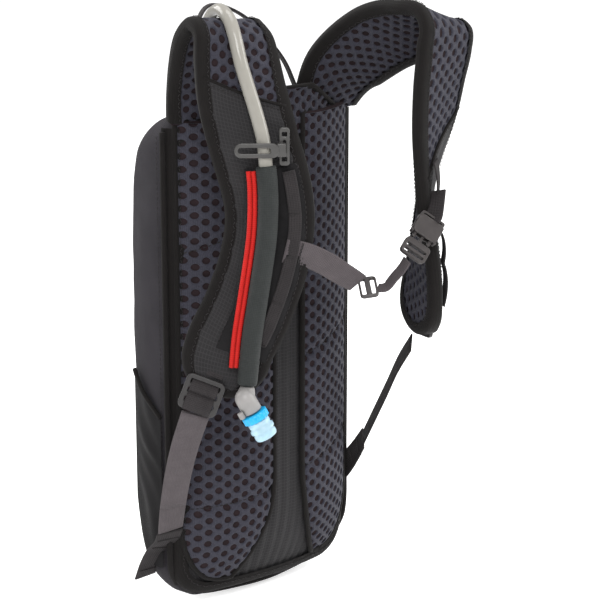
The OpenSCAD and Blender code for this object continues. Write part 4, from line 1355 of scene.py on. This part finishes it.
def build_clip():
    at = frame_at(*CLIP)
    look, slot = LOOK["smoky"], "smoky_plastic"
    slots = [(0, y, 0.0034, 0.003, 0.0006) for y in (-0.0085, 0.0085)] + [(0, 0, 0.002, 0.009, 0.0008)]
    plate("clip_plate", (0.007, 0.026), 0.002, 0.003, slots, at, look, "pack", ["hose_clip_plate"],
        lift=(-0.013, 0, -0.001))
    plate("clip_arm", (0.030, 0.010), 0.0045, 0.002, [(0.0015, 0, 0.022, 0.004, 0.0019)], at, look, "pack",
        ["hose_clip_arm"], lift=(0.0056, 0.0015, 0.0069))
    plate("clip_foot", (0.006, 0.009), 0.001, 0.0060, [], at, look, "pack",
        lift=(-0.011, 0.0015, 0.0036))


build_clip()


# ---- main zip on the front ----
ZIP_X, ZIP_LOW, ZIP_BEND, ZIP_TOP = 0.062, -0.300, -0.150, -0.092
ZIP_SLIDER_Z, TAPE_SUNK, TOOTH_LEAN = -0.180, 0.0006, 0.0008
TOOTH_HALF = (0.0008, 0.0021, 0.0006)  # along the zip, across it and outwards
# A tooth is a block that tapers outwards: the shares of its half sizes at its eight corners.
TOOTH_CORNERS = [(a * 1.0, b * 1.0, -1) for a, b in ((-1, -1), (-1, 1), (1, 1), (1, -1))]
TOOTH_CORNERS += [(a * 0.7, b * 0.8, 1) for a, b in ((-1, -1), (-1, 1), (1, 1), (1, -1))]
TOOTH_FACES = ((0, 3, 2, 1), (4, 5, 6, 7), (0, 1, 5, 4), (1, 2, 6, 5), (2, 3, 7, 6), (3, 0, 4, 7))


def build_zip():
    turn = np.radians(np.arange(0, 181, 15))
    arch = [(ZIP_X * math.cos(t), ZIP_BEND + (ZIP_TOP - ZIP_BEND) * math.sin(t)) for t in turn]
    leg = [(ZIP_X, z) for z in (ZIP_LOW, -0.250, -0.200)]
    flat = leg + arch + [(-x, z) for x, z in leg[::-1]]
    line = np.array([(x, float(front_y(x, z)) + 0.0012, z) for x, z in flat])
    fine = even_line(smooth_line(line, 6), 0.0022)
    fine[:, 1] = front_y(fine[:, 0], fine[:, 2]) + 0.0013
    along = directions(fine)
    out = columns(fine[:, 0] / FRONT_R, np.ones(len(fine)), np.zeros(len(fine)))
    out = side_of(unit(out), along)
    side = np.cross(along, out)
    across = np.array((-0.011, -0.005, 0.005, 0.011))
    tape_rows = [
        [fine[i] + side[i] * a - out[i] * TAPE_SUNK for a in across] for i in range(len(fine))
    ]
    strip("zip_tape", tape_rows, [0, 0.006, 0.016, 0.022], distance_along(fine), LOOK["binding"], "pack",
        "binding")
    points, faces = [], []
    for i in range(len(fine)):
        lean = TOOTH_LEAN * (1 if i % 2 else -1)
        centre = fine[i] + side[i] * lean
        first = len(points)
        axes = np.array((along[i], side[i], out[i]))
        points += [centre + (np.array(corner) * TOOTH_HALF) @ axes for corner in TOOTH_CORNERS]
        faces += [tuple(first + corner for corner in face) for face in TOOTH_FACES]
    mesh_piece("zip_teeth", points, faces, LOOK["dark_plastic"], "pack", "dark_plastic", None,
        ["main_zip_chain"], smooth=False)
    tilt = math.atan(ZIP_X / math.sqrt(FRONT_R**2 - ZIP_X**2))
    slider_y = float(front_y(ZIP_X, -0.200)) + 0.0044
    across = np.array((math.cos(tilt), math.sin(tilt), 0))
    outward = np.array((-math.sin(tilt), math.cos(tilt), 0))
    at = (np.array((-ZIP_X, slider_y, ZIP_SLIDER_Z)), columns(across, np.array((0, 0, 1.0)), -outward))
    plate("zip_slider_body", (0.008, 0.011), 0.0025, 0.0022, [], at, LOOK["dark_plastic"], "zip_runner",
        ["zip_slider"])
    plate("zip_slider_bridge", (0.003, 0.0046), 0.001, 0.0036, [], at, LOOK["dark_plastic"], "zip_runner",
        lift=(0, -0.0012, -0.0024))
    plate("zip_pull_tab", (0.008, 0.0300), 0.0020, 0.0018, [(0, 0.0110, 0.0044, 0.0060, 0.001)], at,
        LOOK["dark_plastic"], "zip_pull", ["zip_puller"], lift=(0, -0.0145, -0.0055))


build_zip()


# ---- what the bag holds, carried over from the CAD frame ----
INSIDE = {
    "frame_sheet": "grey_valve", "reservoir_divider": "ripstop", "reservoir": "film",
    "reservoir_slide_closure": "grey_valve", "reservoir_outlet": "blue_valve",
    "reservoir_hanger": "dark_plastic",
    "inner_hose": "hose", "hose_port": "dark_plastic",
}
for node_name, look_name in INSIDE.items():
    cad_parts[node_name].data.materials.clear()
    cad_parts[node_name].data.materials.append(LOOK[look_name])


# ---- floor and light ----
FLOOR_HALF, FLOOR_GAP, FLOOR_GLOW, SKY_STRENGTH = 6, 0.004, 0.55, 0.62
WHITE = (1, 1, 1, 1)


def build_stage():
    floor_shader = LOOK["floor"].node_tree.nodes["Principled BSDF"]
    floor_shader.inputs["Emission Color"].default_value = WHITE
    floor_shader.inputs["Emission Strength"].default_value = FLOOR_GLOW
    floor_mesh = bpy.data.meshes.new("floor")
    corners = [(x * FLOOR_HALF, y * FLOOR_HALF, 0) for x, y in ((-1, -1), (1, -1), (1, 1), (-1, 1))]
    floor_mesh.from_pydata(corners, [], [(0, 1, 2, 3)])
    floor_mesh.materials.append(LOOK["floor"])
    floor = add_object("floor", floor_mesh)
    floor.location.z = cad_box[0].z - FLOOR_GAP
    bpy.context.scene.view_settings.view_transform = "Standard"
    world = bpy.context.scene.world or bpy.data.worlds.new("world")
    bpy.context.scene.world = world
    world.use_nodes = True
    sky = world.node_tree.nodes["Background"]
    sky.inputs[0].default_value = WHITE
    sky.inputs[1].default_value = SKY_STRENGTH
    for name, place, size, power in (
        ("key_light", (-1.0, -1.3, 1.0), 0.9, 34),
        ("side_light", (1.5, -1.0, 0.5), 1.0, 22),
        ("back_light", (-0.6, 1.5, 0.9), 1.0, 26),
        ("top_light", (0.2, 0.0, 1.5), 1.0, 20),
    ):
        lamp = add_object(name, bpy.data.lights.new(name, "AREA"))
        lamp.data.size, lamp.data.energy = size, power
        lamp.location = place
        lamp.rotation_euler = (TARGET - Vector(place)).to_track_quat("-Z", "Y").to_euler()


build_stage()
